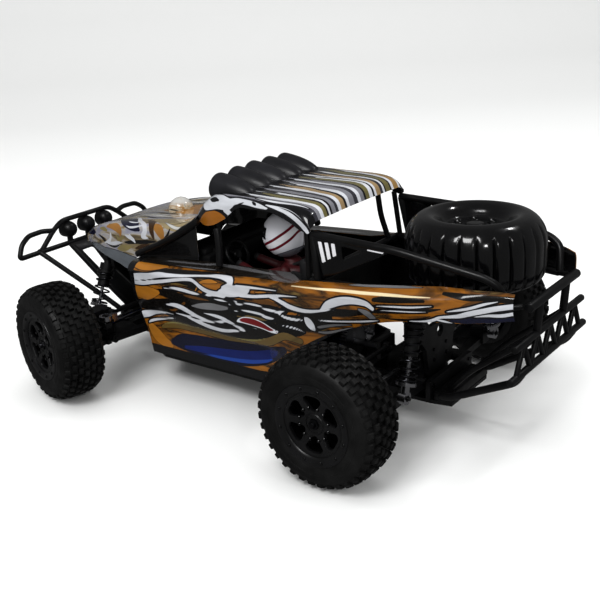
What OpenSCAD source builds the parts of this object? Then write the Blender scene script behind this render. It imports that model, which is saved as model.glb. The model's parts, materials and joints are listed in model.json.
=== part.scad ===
// One-tenth scale four-wheel-drive desert buggy, radio controlled.
// Millimetres. +X is forward, +Y is the car's left, +Z is up, and the tyres stand on Z = 0.
// Inside car() X is counted from the rear axle. Inside axle() it is counted from that axle,
// outwards towards the nearer bumper, so that the front and rear axles share their modules.

/* [Running gear] */
// Distance between the axles
wheelbase = 283; // [281:0.5:285]
// Width over the tyres
overall_w = 304; // [302:0.5:306]
// Tyre diameter
tyre_d = 105; // [103:0.5:106]
// Tyre width
tyre_w = 43; // [41:0.5:44]
// Height of the suspension arms' hinge pins
arm_z = 42; // [41:0.5:43]

/* [Bumpers] */
// Reach of the front bumper ahead of the front axle
front_overhang = 112; // [110:0.5:114]
// Reach of the rear bumper behind the rear axle
rear_overhang = 116; // [114:0.5:118]

/* [Body] */
// Height of the flat middle of the roof
roof_z = 184; // [182:0.5:186]
// Thickness of the body shells
shell_t = 1.6; // [1.4:0.1:2]
// Spare tyre diameter
spare_d = 106; // [102:1:108]

/* [Drive] */
// Teeth on the spur gear of the centre shaft
spur_teeth = 41; // [37:2:43]
// Teeth on the motor pinion
pinion_teeth = 15; // [13:2:17]

/* [Steering] */
// Angle at which the front wheels rest, negative to the car's right
steer_rest = -14; // [-18:1:10]

/* [Hidden] */
$fn = 48;
black = [0.05, 0.05, 0.055];
dark_grey = [0.16, 0.16, 0.17];
ochre = [0.72, 0.45, 0.10];
pale = [0.82, 0.83, 0.85];
steel = [0.72, 0.72, 0.74];
blue = [0.05, 0.12, 0.45];
red = [0.62, 0.06, 0.08];

tyre_r = tyre_d / 2;
wheel_y = (overall_w - tyre_w) / 2;
mid_x = (wheelbase + front_overhang - rear_overhang) / 2;
front_x = wheelbase + front_overhang;
rear_x = -rear_overhang;

pin_r = 1.5;             // suspension hinge pins
running = 0.05;          // radial clearance of a turning fit
inner_pin_y = 30;
rear_pin_y = 96;
front_pin_y = 84;
kingpin_y = 98;
drive_z = 50;            // centre shaft and differential outputs
shock_x = 30;            // plane of each shock, outwards from its axle
link_x = -12;            // plane of each upper link
link_rise = 24;          // upper link above the arm
steer_x = -24;           // plane of the tie rods
steer_z = 64;
eye_slack = 1.0;         // clearance at each shock's lower pin
stud_r = 1.2;
rod_slack = 2.4;         // clearance around each tie rod's outer stud
rim_r = 32;
barrel_r = 28.5;

// Shock mounts as [y, z] of the upper pin and of the lower pin
rear_shock = [[52, 115], [74, 50]];
front_shock = [[42, 102], [66, 50]];

CORNERS = [["front_left", 1, 1], ["front_right", 1, -1], ["rear_left", 0, 1], ["rear_right", 0, -1]];
CORNER_PARTS = ["arm", "hub", "upper_link", "rim", "tyre", "shock_body", "shock_shaft", "spring"];
ROOT_PARTS = ["chassis_tray", "battery_pack", "motor", "speed_controller", "steering_servo",
              "front_gearbox", "rear_gearbox", "front_shock_tower", "rear_shock_tower",
              "front_bumper", "rear_bumper", "nose_shell", "side_panels", "roof_shell",
              "roof_light_pod", "roll_cage", "cockpit_tub", "driver_helmet", "spare_wheel",
              "fasteners"];
MOVING_PARTS = ["centre_drive_shaft", "pinion_gear", "servo_horn", "steering_rack",
                "left_knuckle", "right_knuckle", "left_tie_rod", "right_tie_rod"];

// ---- frames and small helpers ----

module car() translate([-mid_x, 0, 0]) children();

module axle(front) translate([front ? wheelbase : 0, 0, 0]) mirror([front ? 0 : 1, 0, 0]) children();

module corner(c) car() axle(c[1] == 1) mirror([0, c[2] == 1 ? 0 : 1, 0]) children();

module both_sides() for (s = [0, 1]) mirror([0, s, 0]) children();

// A cylinder along X, centred at [x, y, z]
module rod_x(x, y, z, r, length) translate([x - length / 2, y, z]) rotate([0, 90, 0]) cylinder(r = r,
        h = length);

// A cylinder along Y, from y0 to y1
module rod_y(x, z, r, y0, y1) translate([x, y0, z]) rotate([-90, 0, 0]) cylinder(r = r, h = y1 - y0);

// A box from one corner to the other
module box(low, high) translate(low) cube(high - low);

// A round bar between two points
module bar(a, b, r) {
    d = b - a;
    length = norm(d);
    translate(a) rotate([0, acos(d[2] / length), atan2(d[1], d[0])]) cylinder(r = r, h = length);
}

// Round bars along a list of points, with a ball at each bend
module tube(points, r) {
    for (i = [1 : len(points) - 1]) bar(points[i - 1], points[i], r);
    for (p = points) translate(p) sphere(r = r + 0.15);
}

// A moulded frame member with twelve flats, run on a little past each bend
module strut(a, b, r) {
    past = 0.7 * r * (b - a) / norm(b - a);
    bar(a - past, b + past, r, $fn = 12);
}

module frame(points, r) for (i = [1 : len(points) - 1]) strut(points[i - 1], points[i], r);

// A plate of thickness t in the YZ plane, from x to x + t
module plate_yz(x, t, outline) translate([x, 0, 0]) rotate([90, 0, 90]) linear_extrude(t) polygon(outline);

// A closed skin from a grid of outer points and the same grid moved inwards
module skin(outer, inner) {
    rows = len(outer);
    cols = len(outer[0]);
    n = rows * cols;
    points = concat([for (r = outer) for (p = r) p], [for (r = inner) for (p = r) p]);
    function quad(a, b, c, d) = [[a, b, c], [a, c, d]];
    sheet_faces = [for (i = [0 : rows - 2]) for (j = [0 : cols - 2]) for (inside = [0, 1])
        let (a = i * cols + j, b = a + 1, c = b + cols, d = a + cols)
        for (t = inside == 0 ? quad(a, b, c, d) : quad(n + a, n + d, n + c, n + b)) t];
    end_faces = [for (j = [0 : cols - 2]) for (last = [0, 1])
        let (a = last * (rows - 1) * cols + j, b = a + 1)
        for (t = last == 0 ? quad(a, n + a, n + b, b) : quad(b, n + b, n + a, a)) t];
    edge_faces = [for (i = [0 : rows - 2]) for (last = [0, 1])
        let (a = i * cols + last * (cols - 1), b = a + cols)
        for (t = last == 0 ? quad(b, n + b, n + a, a) : quad(a, n + a, n + b, b)) t];
    polyhedron(points, concat(sheet_faces, end_faces, edge_faces), convexity = 8);
}

// A gear's outline: tapered teeth on a root circle
function gear_outline(teeth, pitch_r, phase) = [for (i = [0 : teeth - 1])
    for (k = [[-0.25, -1.0], [-0.10, 0.8], [0.10, 0.8], [0.25, -1.0]])
        let (a = phase + (i + k[0]) * 360 / teeth, r = pitch_r + k[1]) [r * cos(a), r * sin(a)]];

// ---- wheels: the axle runs along Y and the wheel's middle is at the origin ----

// What steers turns about the kingpin; the rear corners stay straight
module steered(c) {
    angle = c[1] == 1 ? c[2] * steer_rest : 0;
    corner(c) translate([0, kingpin_y, 0]) rotate([0, 0, angle]) translate([0, -kingpin_y, 0]) children();
}

module wheel_place(c) steered(c) translate([0, wheel_y, tyre_r]) children();

module tyre() color(black) rotate([-90, 0, 0]) rotate_extrude() polygon([
    [rim_r, -tyre_w / 2 + 1], [rim_r + 4, -tyre_w / 2], [tyre_r - 9, -tyre_w / 2],
    [tyre_r - 3, -tyre_w / 2 + 3], [tyre_r, -tyre_w / 2 + 7], [tyre_r, tyre_w / 2 - 7],
    [tyre_r - 3, tyre_w / 2 - 3], [tyre_r - 9, tyre_w / 2], [rim_r + 4, tyre_w / 2],
    [rim_r, tyre_w / 2 - 1], [rim_r, tyre_w / 2 - 5], [tyre_r - 10, tyre_w / 2 - 6],
    [tyre_r - 5, tyre_w / 2 - 9], [tyre_r - 5, -tyre_w / 2 + 9], [tyre_r - 10, -tyre_w / 2 + 6],
    [rim_r, -tyre_w / 2 + 5]]);

module rim() {
    edge = tyre_w / 2 - 1;
    color(black) {
        // barrel with a bead flange at each edge
        rotate([-90, 0, 0]) rotate_extrude() polygon([
            [barrel_r, -edge], [rim_r, -edge], [rim_r, -edge + 4], [rim_r - 2, -edge + 6],
            [rim_r - 2, edge - 6], [rim_r, edge - 4], [rim_r, edge], [barrel_r, edge]]);
        // six-spoke face and its boss
        difference() {
            rod_y(0, 0, barrel_r + 0.5, 9, 12.5);
            for (i = [0 : 5]) rotate([0, i * 60, 0]) translate([0, 8, 0]) rotate([-90, 0, 0])
                linear_extrude(6) polygon([[10.5, -2], [19, -8], [21.5, -4.5], [21.5, 4.5], [19, 8],
                        [10.5, 2]]);
        }
        rod_y(0, 0, 9, 0.2, 14);
    }
    // stub axle, its inboard cup and the wheel nut
    color(steel) {
        rod_y(0, 0, 2.5, -21.5, 20);
        difference() {
            rod_y(0, 0, 5.5, -32, -21.5);
            rod_y(0, 0, 3.9, -32.5, -24);
        }
        translate([0, 14, 0]) rotate([-90, 0, 0]) cylinder(r = 4, h = 4, $fn = 6);
    }
}

// ---- suspension: drawn for the left side of an axle, outwards from the origin ----

function pin_y(front) = front ? front_pin_y : rear_pin_y;
function shock_ends(front) = front ? front_shock : rear_shock;

module arm(front) color(black) {
    y1 = pin_y(front);
    lug_y = shock_ends(front)[1][0];
    lug_z = shock_ends(front)[1][1];
    difference() {
        union() {
            difference() {
                translate([0, 0, arm_z - 3]) linear_extrude(6) polygon([
                    [-24, inner_pin_y], [24, inner_pin_y], [22, lug_y - 6], [15, y1], [-15, y1], [-20, 55]]);
                for (s = [-1, 1]) translate([0, 0, arm_z - 4]) linear_extrude(8)
                    polygon([[3 * s, 38], [17 * s, 38], [13 * s, lug_y - 10], [3 * s, lug_y - 14]]);
            }
            rod_x(0, inner_pin_y, arm_z, 4, 48);
            rod_x(0, y1, arm_z, 4, 30);
            box([12, lug_y - 6, arm_z - 2], [24, lug_y + 6, lug_z + 4]);
        }
        rod_x(0, inner_pin_y, arm_z, pin_r + running, 60);
        box([-9, y1 - 5.5, arm_z - 6], [9, y1 + 6, arm_z + 6]);
    }
    // outer hinge pin and the shock's lower pin
    rod_x(0, y1, arm_z, pin_r, 31);
    rod_x(29, lug_y, lug_z, pin_r, 12);
}

module link_pin(y, z) rod_x(-11, y, z, 1.25, 8);

module rear_hub() color(black) {
    link_y = rear_pin_y - 2;
    link_z = arm_z + link_rise;
    difference() {
        union() {
            rod_y(0, tyre_r, 10, 110, 127);
            box([-8, 92.5, 46.5], [8, 112, 62]);
            rod_x(0, rear_pin_y, arm_z, 4, 17);
            box([-8.5, rear_pin_y - 4, arm_z], [8.5, rear_pin_y + 4, 48]);
            box([-8, link_y - 4, 60], [8, link_y + 4, link_z + 4]);
        }
        rod_x(0, rear_pin_y, arm_z, pin_r + running, 30);
        rod_y(0, tyre_r, 2.5 + running, 100, 130);
        rod_y(0, tyre_r, 7, 90, 109.8);
    }
    link_pin(link_y, link_z);
}

module front_hub() color(black) {
    link_y = front_pin_y - 2;
    link_z = arm_z + link_rise;
    difference() {
        union() {
            rod_x(0, front_pin_y, arm_z, 4, 17);
            box([-8.5, 80, arm_z], [8.5, 88, link_z + 4]);
            box([-6, 86, 36], [6, 103, 40]);
            box([-8.5, front_pin_y, 36], [8.5, 88.5, 44]);
            box([-6, 86, 66], [6, 103, 70]);
        }
        rod_x(0, front_pin_y, arm_z, pin_r + running, 30);
        rod_y(0, tyre_r - 1, 8, 78, 90);
        translate([0, kingpin_y, 30]) cylinder(r = 1.75, h = 50);
    }
    link_pin(link_y, link_z);
}

module hub(front) {
    if (front) front_hub();
    else rear_hub();
}

// The steered knuckle turns between the hub's forks on its kingpin
module knuckle() color(dark_grey) {
    difference() {
        union() {
            rod_y(0, tyre_r, 10, 108, 127);
            box([-7, 93, 41], [7, 110, 65]);
            box([steer_x - 4, 92, 61], [-2, 98, 65]);
            translate([steer_x, 94, 61]) cylinder(r = 4, h = 4);
        }
        rod_y(0, tyre_r, 2.5 + running, 100, 130);
        rod_y(0, tyre_r, 8.5, 90, 109.8);
    }
    translate([0, kingpin_y, 35]) cylinder(r = 1.7, h = 9);
    translate([0, kingpin_y, 62]) cylinder(r = 1.7, h = 9);
    // tie-rod stud
    translate([steer_x, 94, 64]) cylinder(r = stud_r, h = 8);
}

module upper_link(front) color(black) {
    z = arm_z + link_rise;
    y0 = inner_pin_y - 2;
    y1 = pin_y(front) - 2;
    difference() {
        union() {
            for (y = [y0, y1]) rod_x(link_x, y, z, 3.5, 5);
            rod_y(link_x, z, 1.8, y0 + 2, y1 - 2);
        }
        for (y = [y0, y1]) rod_x(link_x, y, z, 1.25 + running, 8);
    }
}

// ---- shocks: drawn hanging down from the upper eye at the origin ----

function shock_length(front) = norm(shock_ends(front)[1] - shock_ends(front)[0]);
function shock_lean(front) = let (d = shock_ends(front)[1] - shock_ends(front)[0]) atan2(d[0], -d[1]);
function body_end(front) = front ? -29 : -37;

module shock_place(c) {
    front = c[1] == 1;
    top = shock_ends(front)[0];
    corner(c) translate([shock_x, top[0], top[1]]) rotate([shock_lean(front), 0, 0]) children();
}

module shock_body(front) color(dark_grey) {
    low = body_end(front);
    difference() {
        union() {
            rod_x(0, 0, 0, 4.5, 6);
            translate([0, 0, -7]) cylinder(r = 3.5, h = 7);
            translate([0, 0, -12]) cylinder(r = 6.5, h = 6);
            translate([0, 0, low]) cylinder(r = 5.5, h = -low - 11);
            translate([0, 0, -15]) cylinder(r = 8, h = 2);
        }
        rod_x(0, 0, 0, 2 + running, 8);
        translate([0, 0, low + 3]) cylinder(r = 4.2, h = -low - 11.5);
        translate([0, 0, low - 1]) cylinder(r = pin_r + running, h = 6);
    }
}

module shock_shaft(front) {
    eye_z = -shock_length(front);
    piston_z = front ? -17 : -23;
    color(steel) {
        translate([0, 0, eye_z + 4]) cylinder(r = pin_r, h = piston_z - eye_z - 4);
        translate([0, 0, piston_z - 2]) cylinder(r = 4.1, h = 2);
    }
    color(black) difference() {
        union() {
            rod_x(0, 0, eye_z, 5, 6);
            translate([0, 0, eye_z + 2]) cylinder(r = 3.5, h = 8);
            translate([0, 0, eye_z + 9.5]) cylinder(r = 8, h = 2.5);
        }
        rod_x(0, 0, eye_z, pin_r + eye_slack, 8);
    }
}

spring_r = 7;
wire_r = 0.75;
wire_sides = 5;
coil_steps = 10;

// A helical spring swept as one polyhedron
module spring(front) color(steel) {
    top = -15.2;
    bottom = -shock_length(front) + 12.2;
    turns = front ? 6 : 8;
    steps = turns * coil_steps;
    rise = (top - bottom - 2 * wire_r) / steps;
    points = [for (i = [0 : steps]) for (k = [0 : wire_sides - 1])
        let (a = i * 360 / coil_steps, b = k * 360 / wire_sides, r = spring_r + wire_r * cos(b))
        [r * cos(a), r * sin(a), bottom + wire_r + i * rise + wire_r * sin(b)]];
    side_faces = [for (i = [0 : steps - 1]) for (k = [0 : wire_sides - 1])
        let (a = i * wire_sides + k, b = i * wire_sides + (k + 1) % wire_sides)
        for (t = [[a, b, b + wire_sides], [a, b + wire_sides, a + wire_sides]]) t];
    ends = [[for (k = [wire_sides - 1 : -1 : 0]) k], [for (k = [0 : wire_sides - 1]) steps * wire_sides + k]];
    polyhedron(points, concat(side_faces, ends), convexity = 10);
}

// ---- chassis and the works inside ----

module chassis_tray() color(black) car() {
    difference() {
        translate([0, 0, 28]) linear_extrude(12.5) polygon([
            [62, -58], [90, -69], [222, -69], [236, -62], [236, 62], [222, 69], [90, 69], [62, 58]]);
        translate([0, 0, 31]) linear_extrude(12) polygon([
            [65, -56], [91, -66], [221, -66], [233, -60], [233, 60], [221, 66], [91, 66], [65, 56]]);
        // room for the front of the steering servo, and for the spur gear
        box([230, -33, 31], [238, -11, 45]);
        box([60, -19, 31], [68, 19, 45]);
    }
    // narrow ends under the gearboxes
    translate([0, 0, 28]) linear_extrude(3) polygon([[-46, -30], [-28, -33], [24, -33], [63, -56], [63, 56],
        [24, 33], [-28, 33], [-46, 30]]);
    translate([0, 0, 28]) linear_extrude(3) polygon([[235, -60], [256, -34], [310, -30], [328, -20],
            [328, 20],
        [310, 30], [256, 34], [235, 60]]);
}

module battery_pack() color(blue) car() translate([88, 0, 43]) rotate([90, 0, 90]) linear_extrude(130) {
    for (y = [25, 47]) translate([y, 0]) circle(r = 11.4);
    translate([25, -11.4]) square([22, 22.8]);
}

pinion_r = 0.4 * pinion_teeth;
spur_r = 0.4 * spur_teeth;
motor_y = -(pinion_r + spur_r + 0.1);

module motor() car() {
    color(steel) {
        rod_x(97, motor_y, drive_z, 18, 50);
        rod_x(64.5, motor_y, drive_z, 1.6, 15);
    }
    color(dark_grey) difference() {
        box([69, motor_y - 20, 31], [72, motor_y + 18, 71]);
        rod_x(70, motor_y, drive_z, 4, 8);
    }
}

module speed_controller() color(dark_grey) car() {
    box([128, -62, 31], [186, -26, 50]);
    for (i = [0 : 6]) box([132 + i * 5, -56, 50], [134 + i * 5, -32, 58]);
}

module steering_servo() color(black) car() {
    x = wheelbase - 46;
    box([x - 31, -32, 31], [x + 9, -12, 57]);
    box([x - 38, -31, 48], [x + 15, -13, 50.5]);
    translate([x, -22, 57]) cylinder(r = 3, h = 6);
}

tower_screw_y = 10;
tower_screw_z = [54, 63];

// Differential case with the hinge-pin plates of the lower arms and the upper link lugs
module gearbox() color(dark_grey) {
    link_z = arm_z + link_rise;
    difference() {
        union() {
            box([-18, -20, 31], [16, 20, drive_z]);
            rod_y(-1, drive_z, 16, -20, 20);
            both_sides() rod_y(0, drive_z, 7, 19, 24);
            for (x = [-30, 26]) box([x, -35, 31], [x + 4, 35, 47]);
            box([-30, -20, 31], [30, 20, 36]);
            both_sides() box([-19.5, 10, 56], [-16, 32, link_z + 4]);
            // face that carries the shock tower
            box([8, -14, 46], [16, 14, 67]);
        }
        both_sides() for (h = tower_screw_z) rod_x(14, tower_screw_y, h, pin_r, 6);
        both_sides() rod_y(0, drive_z, 5, 18, 26);
        both_sides() rod_x(0, inner_pin_y, arm_z, pin_r, 70);
        rod_x(-24, 0, drive_z, 5, 36);
    }
    both_sides() link_pin(inner_pin_y - 2, link_z);
    both_sides() rod_x(-15.5, inner_pin_y - 2, link_z, 1.25, 1.2);
}

module shock_tower(front) color(black) {
    top = shock_ends(front)[0];
    y = top[0];
    z = top[1];
    difference() {
        plate_yz(16, 4, [[-18, 44], [18, 44], [22, 66], [y + 6, z - 7], [y + 7, z], [y + 2, z + 5],
                [y - 8, z + 3],
            [16, 84], [-16, 84], [-y + 8, z + 3], [-y - 2, z + 5], [-y - 7, z], [-y - 6, z - 7], [-22, 66]]);
        both_sides() for (h = tower_screw_z) rod_x(18, tower_screw_y, h, pin_r, 8);
        rod_x(18, 0, 76, 5, 8);
    }
    both_sides() rod_x(27, y, z, 2, 14);
    // post under the nose of the body
    if (front) translate([18, 0, 82.5]) cylinder(r = 3, h = 52.5);
}

module centre_drive_shaft() car() {
    color(steel) rod_x((wheelbase - 1) / 2, 0, drive_z, 3, wheelbase - 30);
    color(pale) translate([62, 0, drive_z]) rotate([90, 0, 90]) linear_extrude(5)
        polygon(gear_outline(spur_teeth, spur_r, 180));
}

module pinion_gear() color(steel) car() translate([61.5, motor_y, drive_z]) rotate([90, 0, 90])
    linear_extrude(6) difference() {
        polygon(gear_outline(pinion_teeth, pinion_r, 180 / pinion_teeth));
        circle(r = 1.6 + running);
    }

// ---- steering ----

horn_x = -46;
horn_y = -22;
horn_reach = steer_x - horn_x;
rack_shift = steer_x * sin(steer_rest);
horn_rest = asin(rack_shift / horn_reach);

// The horn's pin runs in the rack's slot
module servo_horn() color(pale) car() axle(true) translate([horn_x, horn_y, 0]) rotate([0, 0, horn_rest]) {
    difference() {
        union() {
            translate([0, 0, 59]) cylinder(r = 5, h = 3);
            box([0, -2.5, 59], [horn_reach, 2.5, 62]);
            translate([horn_reach, 0, 59]) cylinder(r = 2.5, h = 3);
        }
        translate([0, 0, 57]) cylinder(r = 3 + running, h = 8);
    }
    translate([horn_reach, 0, 61]) cylinder(r = pin_r, h = 7);
}

rack_half = 40;
slot_slack = 0.2;

module steering_rack() color(dark_grey) car() axle(true) translate([0, rack_shift, 0]) {
    difference() {
        union() {
            box([steer_x - 2.5, -rack_half + 6, 62.5], [steer_x + 2.5, rack_half - 6, 66.5]);
            box([steer_x - 6, horn_y - 5, 62.5], [steer_x + 2.5, horn_y + 5, 66.5]);
        }
        box([steer_x - 4.5, horn_y - pin_r - slot_slack, 62],
                [steer_x + 1.7, horn_y + pin_r + slot_slack, 67]);
    }
    // pin of each tie rod, carried from behind
    both_sides() {
        box([steer_x - 5.5, rack_half - 7, 62.5], [steer_x + 2.5, rack_half - 4, 66.5]);
        box([steer_x - 5.5, rack_half - 7, 62], [steer_x - 4, rack_half + 2.5, 66.5]);
        rod_x(steer_x - 1, rack_half, steer_z, pin_r, 9);
    }
}

ring_x = -22.7;

// Drawn for the left side; the rack carries both rods sideways, so the shift changes sign with the side
module tie_rod(side) color(steel) translate([0, side * rack_shift, 0]) {
    difference() {
        union() {
            rod_x(steer_x, rack_half, steer_z, 3, 7.4);
            rod_y(steer_x, steer_z + 1, 1.5, rack_half + 1, 86);
            box([steer_x - 2, 83, steer_z], [steer_x + 2, 88, 71]);
            box([steer_x - 2, 83, 67], [steer_x + 2, 92, 71]);
            translate([ring_x, 94, 67]) cylinder(r = stud_r + rod_slack + 2.1, h = 4);
        }
        rod_x(steer_x, rack_half, steer_z, pin_r + running, 12);
        translate([ring_x, 94, 60]) cylinder(r = stud_r + rod_slack, h = 14);
    }
}

// ---- bumpers ----

bumper_tube_r = 2.5;

module front_bumper() color(black) car() {
    x = front_x - 5.5;
    top_bar = [x, 31, 126.4];
    hoop_tip = [x - 1, 88, 102];
    low_bar = [x - 5, 66, 103.5];
    both_sides() {
        tube([top_bar, [x, 43, 119], [x - 1.5, 61, 103.5]], bumper_tube_r);
        tube([[x, 43, 119], [x + 3, 55, 121], [x + 2, 72, 120.5], [x + 1, 82, 114], hoop_tip, low_bar],
                bumper_tube_r);
        tube([low_bar, [x - 50, 35, 58], [x - 72, 22, 36]], bumper_tube_r);
        bar(low_bar, [x - 5, 0, 103.5], bumper_tube_r);
    }
    bar(top_bar, [x, -31, 126.4], bumper_tube_r);
    // skid plate with its windows, from the lower bar back to the chassis
    difference() {
        skid_plate(x);
        skid_windows(x);
    }
    // block that fastens the skid and its tubes to the chassis
    box([315, -24, 31], [327, 24, 44]);
    // three dummy lamps on stems under the top bar
    for (y = [-24, 0, 24]) {
        translate([x - 1, y, 116]) sphere(r = 8);
        rod_x(x + 1.7, y, 116, 8.3, 7.5);
        translate([x - 1, y, 102]) cylinder(r = 3, h = 8);
    }
}

// The skid plate's outline lies in a plane that slopes from the lower bar to the chassis front
skid_slope = 46;

module skid_frame(x) translate([x - 5, 0, 103.5]) rotate([0, 90 + skid_slope, 0]) children();

module skid_plate(x) skid_frame(x) translate([0, 0, -1.5]) linear_extrude(3)
    polygon([[0, -31], [0, 31], [55, 24], [88, 18], [88, -18], [55, -24]]);

module skid_windows(x) skid_frame(x) translate([0, 0, -5]) linear_extrude(10) both_sides()
    polygon([[12, 6], [12, 22], [44, 17], [44, 6]]);

rear_tube_r = 2.8;

module rear_bumper() color(black) car() {
    top_z = 125;
    mid_z = 99.5;
    low_z = 77.2;
    x = rear_x + 3.6;
    strut([x, -41.5, top_z], [x, 41.5, top_z], 3.6);
    strut([x + 2, -59.5, mid_z], [x + 2, 59.5, mid_z], rear_tube_r);
    strut([x + 2, -65.7, low_z], [x + 2, 65.7, low_z], rear_tube_r);
    // zigzag lattice between the middle and lower bars
    bays = 10;
    for (i = [0 : bays - 1]) {
        y0 = -58 + i * 116 / bays;
        y1 = -58 + (i + 1) * 116 / bays;
        strut([x + 2, y0, i % 2 == 0 ? low_z : mid_z], [x + 2, y1, i % 2 == 0 ? mid_z : low_z], 2);
    }
    // posts up to the top bar, and the skid down to the chassis
    both_sides() {
        strut([x + 2, 24, mid_z], [x, 24, top_z], 3);
        frame([[x + 2, 47, low_z], [x + 8, 46, 68], [-46, 33, 37], [-36, 30, 35]], 3);
        frame([[x + 2, 40, mid_z], [-62, 30, 62], [-40, 24, 38]], 2.4);
    }
    // block that fastens them to the chassis
    box([-46, -32, 31], [-31, 32, 38]);
}

// ---- roll cage ----

cage_r = 3;
carrier_z = 122.5;       // cross tubes that carry the spare wheel

module roll_cage() color(black) car() {
    both_sides() {
        // cowl tube down to the front of the side panel, and the windscreen pillar
        frame([[172, 64, 159], [214, 65, 135], [247, 66, 121]], cage_r);
        frame([[150, 65, 156], [147, 67, 140], [146, 70, 125.3]], cage_r);
        // twin rear pillar
        strut([52.5, 65, 163], [47, 69, 127], cage_r);
        strut([59, 64, 167], [56, 68, 127], 2.2);
        // main hoop's leg
        frame([[68, 52, 168], [66, 53, 148], [60, 55, 127]], 2.4);
        number_plate();
        // rear stay over the side of the spare, down to the lower rail
        frame([[52.5, 65, 163], [-20, 66, 160], [-86, 57, 146.5], [-95, 54, 141], [-98, 46, 123]], cage_r);
        strut([60, 68, 127], [-98, 46, 122], 2.6);
        strut([-98, 44, 122.8], [rear_x + 9.5, 40, 124.2], 2.2);
    }
    // cross tubes: the top and foot of the main hoop, and the carrier of the spare wheel
    strut([68, -52, 168], [68, 52, 168], 2.2);
    strut([60, -66, 126], [60, 66, 126], 2.8);
    strut([-20, -56, carrier_z], [-20, 56, carrier_z], 2.4);
    strut([-80, -47, carrier_z], [-80, 47, carrier_z], 2.4);
}

// Side plate behind the door opening, with a window
module number_plate() difference() {
    translate([0, 68, 0]) rotate([90, 0, 0]) linear_extrude(3)
        polygon([[51, 163], [-18, 160], [-12, 156], [47, 127]]);
    translate([0, 70, 0]) rotate([90, 0, 0]) linear_extrude(10) polygon([[25, 158], [6, 156], [24, 147]]);
}

// ---- body shells ----

function lerp(a, b, t) = a + (b - a) * t;

// Side panel: heights of its lower edge, waist crease and shoulder, and its widths, all against X
function panel_low(x) = lookup(x, [[-107, 118], [-95, 117], [-80, 116], [-60, 115], [-35, 113], [-15, 109],
    [3, 103], [23, 94], [45, 80], [66, 62], [88, 38], [96, 31.5], [250, 31.5]]);
function panel_waist(x) = max(lookup(x, [[90, 66], [236, 70]]),
        panel_low(x) + 0.25 * (panel_top(x) - panel_low(x)));
function panel_top(x) = lookup(x, [[-107, 136], [-95, 138], [-80, 138.5], [-40, 136], [0, 132], [40, 128],
        [70, 125],
    [150, 122], [200, 119], [250, 115]]);
function panel_y(x) = lookup(x, [[-107, 57], [-95, 64], [-80, 72], [-40, 81], [0, 85], [100, 86],
        [200, 84], [250, 78]]);

// Outer points of one section of the left panel, from its lower edge to its inboard ledge
function panel_section(x) = let (
        low = panel_low(x), waist = panel_waist(x), top = panel_top(x), y = panel_y(x), side = top - waist,
        deep = max(0, min(1, (60 - low) / 28)), lean = lookup(x, [[200, 0], [250, 1]]),
        ledge = lookup(x, [[-107, 3], [-85, 5], [-60, 12], [60, 12], [80, 28], [230, 26], [250, 18]]),
                curl = min(1, ledge / 12))
    [[x - 16 * lean, lerp(y - 3, 71, deep), low],
     [x - 14 * lean, lerp(y - 2, 73, deep), lerp(low, waist, 0.55)],
     [x - 11 * lean, lerp(y - 1, 75, deep), lerp(low, waist, 0.95)],
     [x - 7 * lean, lerp(y, y - 5, deep), waist + min(3, 0.2 * side)],
     [x - 5 * lean, y, waist + 0.5 * side],
     [x - 2 * lean, y, top - min(7, 0.35 * side)],
     [x, y - 3 * curl, top - min(2.5, 0.12 * side)],
     [x, y - 7 * curl, top],
     [x, y - ledge, top + 1.5]];

PANEL_X = [250, 232, 205, 175, 145, 115, 97, 86, 72, 56, 40, 23, 3, -18, -45, -70, -85, -96, -107];

module side_panels() color(ochre) car() both_sides() {
    outer = [for (x = PANEL_X) panel_section(x)];
    inner = [for (row = outer) [for (j = [0 : 8]) row[j] - (j < 6 ? [0, shell_t, 0] : j == 6 ? [0, 1.1,
            1.1] : [0, 0, shell_t])]];
    skin(outer, inner);
}

// Nose: each row is [x, half width of the crown, crown height, middle height, half width, lower edge, skirt edge]
NOSE = [[358, 20, 119, 119.5, 27, 112, 108], [350, 24, 123, 123, 31, 113, 110],
        [330, 33, 130.5, 130, 41, 115, 108],
        [305, 40, 138, 136, 50, 117, 106], [285, 44, 142, 140.5, 55, 117, 104],
                [266, 46, 145, 144, 60, 117, 102],
        [252, 48, 146, 146, 61, 118, 116], [228, 50, 148, 148.5, 60, 127, 119.2],
                [205, 50, 151, 152, 60, 140, 121],
        [190, 50, 156, 160.5, 60, 149, 122], [179, 50, 164, 169, 59.5, 156, 122.8]];

function nose_row(r) = let (half = [
        [r[0], 0, r[3]], [r[0], 0.5 * r[1], lerp(r[3], r[2], 0.35)], [r[0], r[1], r[2]],
        [r[0], lerp(r[1], r[4], 0.7), r[2] - 2.5], [r[0], r[4] - 1, lerp(r[2], r[5], 0.45)],
        [r[0], r[4], r[5]], [r[0], r[4], r[6]]])
    concat([for (i = [6 : -1 : 1]) [half[i][0], -half[i][1], half[i][2]]], half);

module nose_shell() color(ochre) car() {
    outer = [for (r = NOSE) nose_row(r)];
    inner = [for (row = outer) [for (p = row) let (w = abs(p[1]) / 60)
        [p[0], p[1] - sign(p[1]) * shell_t * min(1, 1.6 * w),
                p[2] - (w < 0.8 && p[2] > 121 ? shell_t : 0.2)]]];
    skin([for (row = outer) [for (j = [len(row) - 1 : -1 : 0]) row[j]]],
         [for (row = inner) [for (j = [len(row) - 1 : -1 : 0]) row[j]]]);
    // closed front of the nose, and the bubble scoop on the hood
    plate_yz(356.4, 1.6, [[-26, 109], [26, 109], [26, 113], [19, 118.4], [-19, 118.4], [-26, 113]]);
    translate([252, 0, 145]) intersection() {
        sphere(r = 12);
        translate([0, 0, 12]) cube([40, 40, 24], center = true);
    }
}

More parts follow.
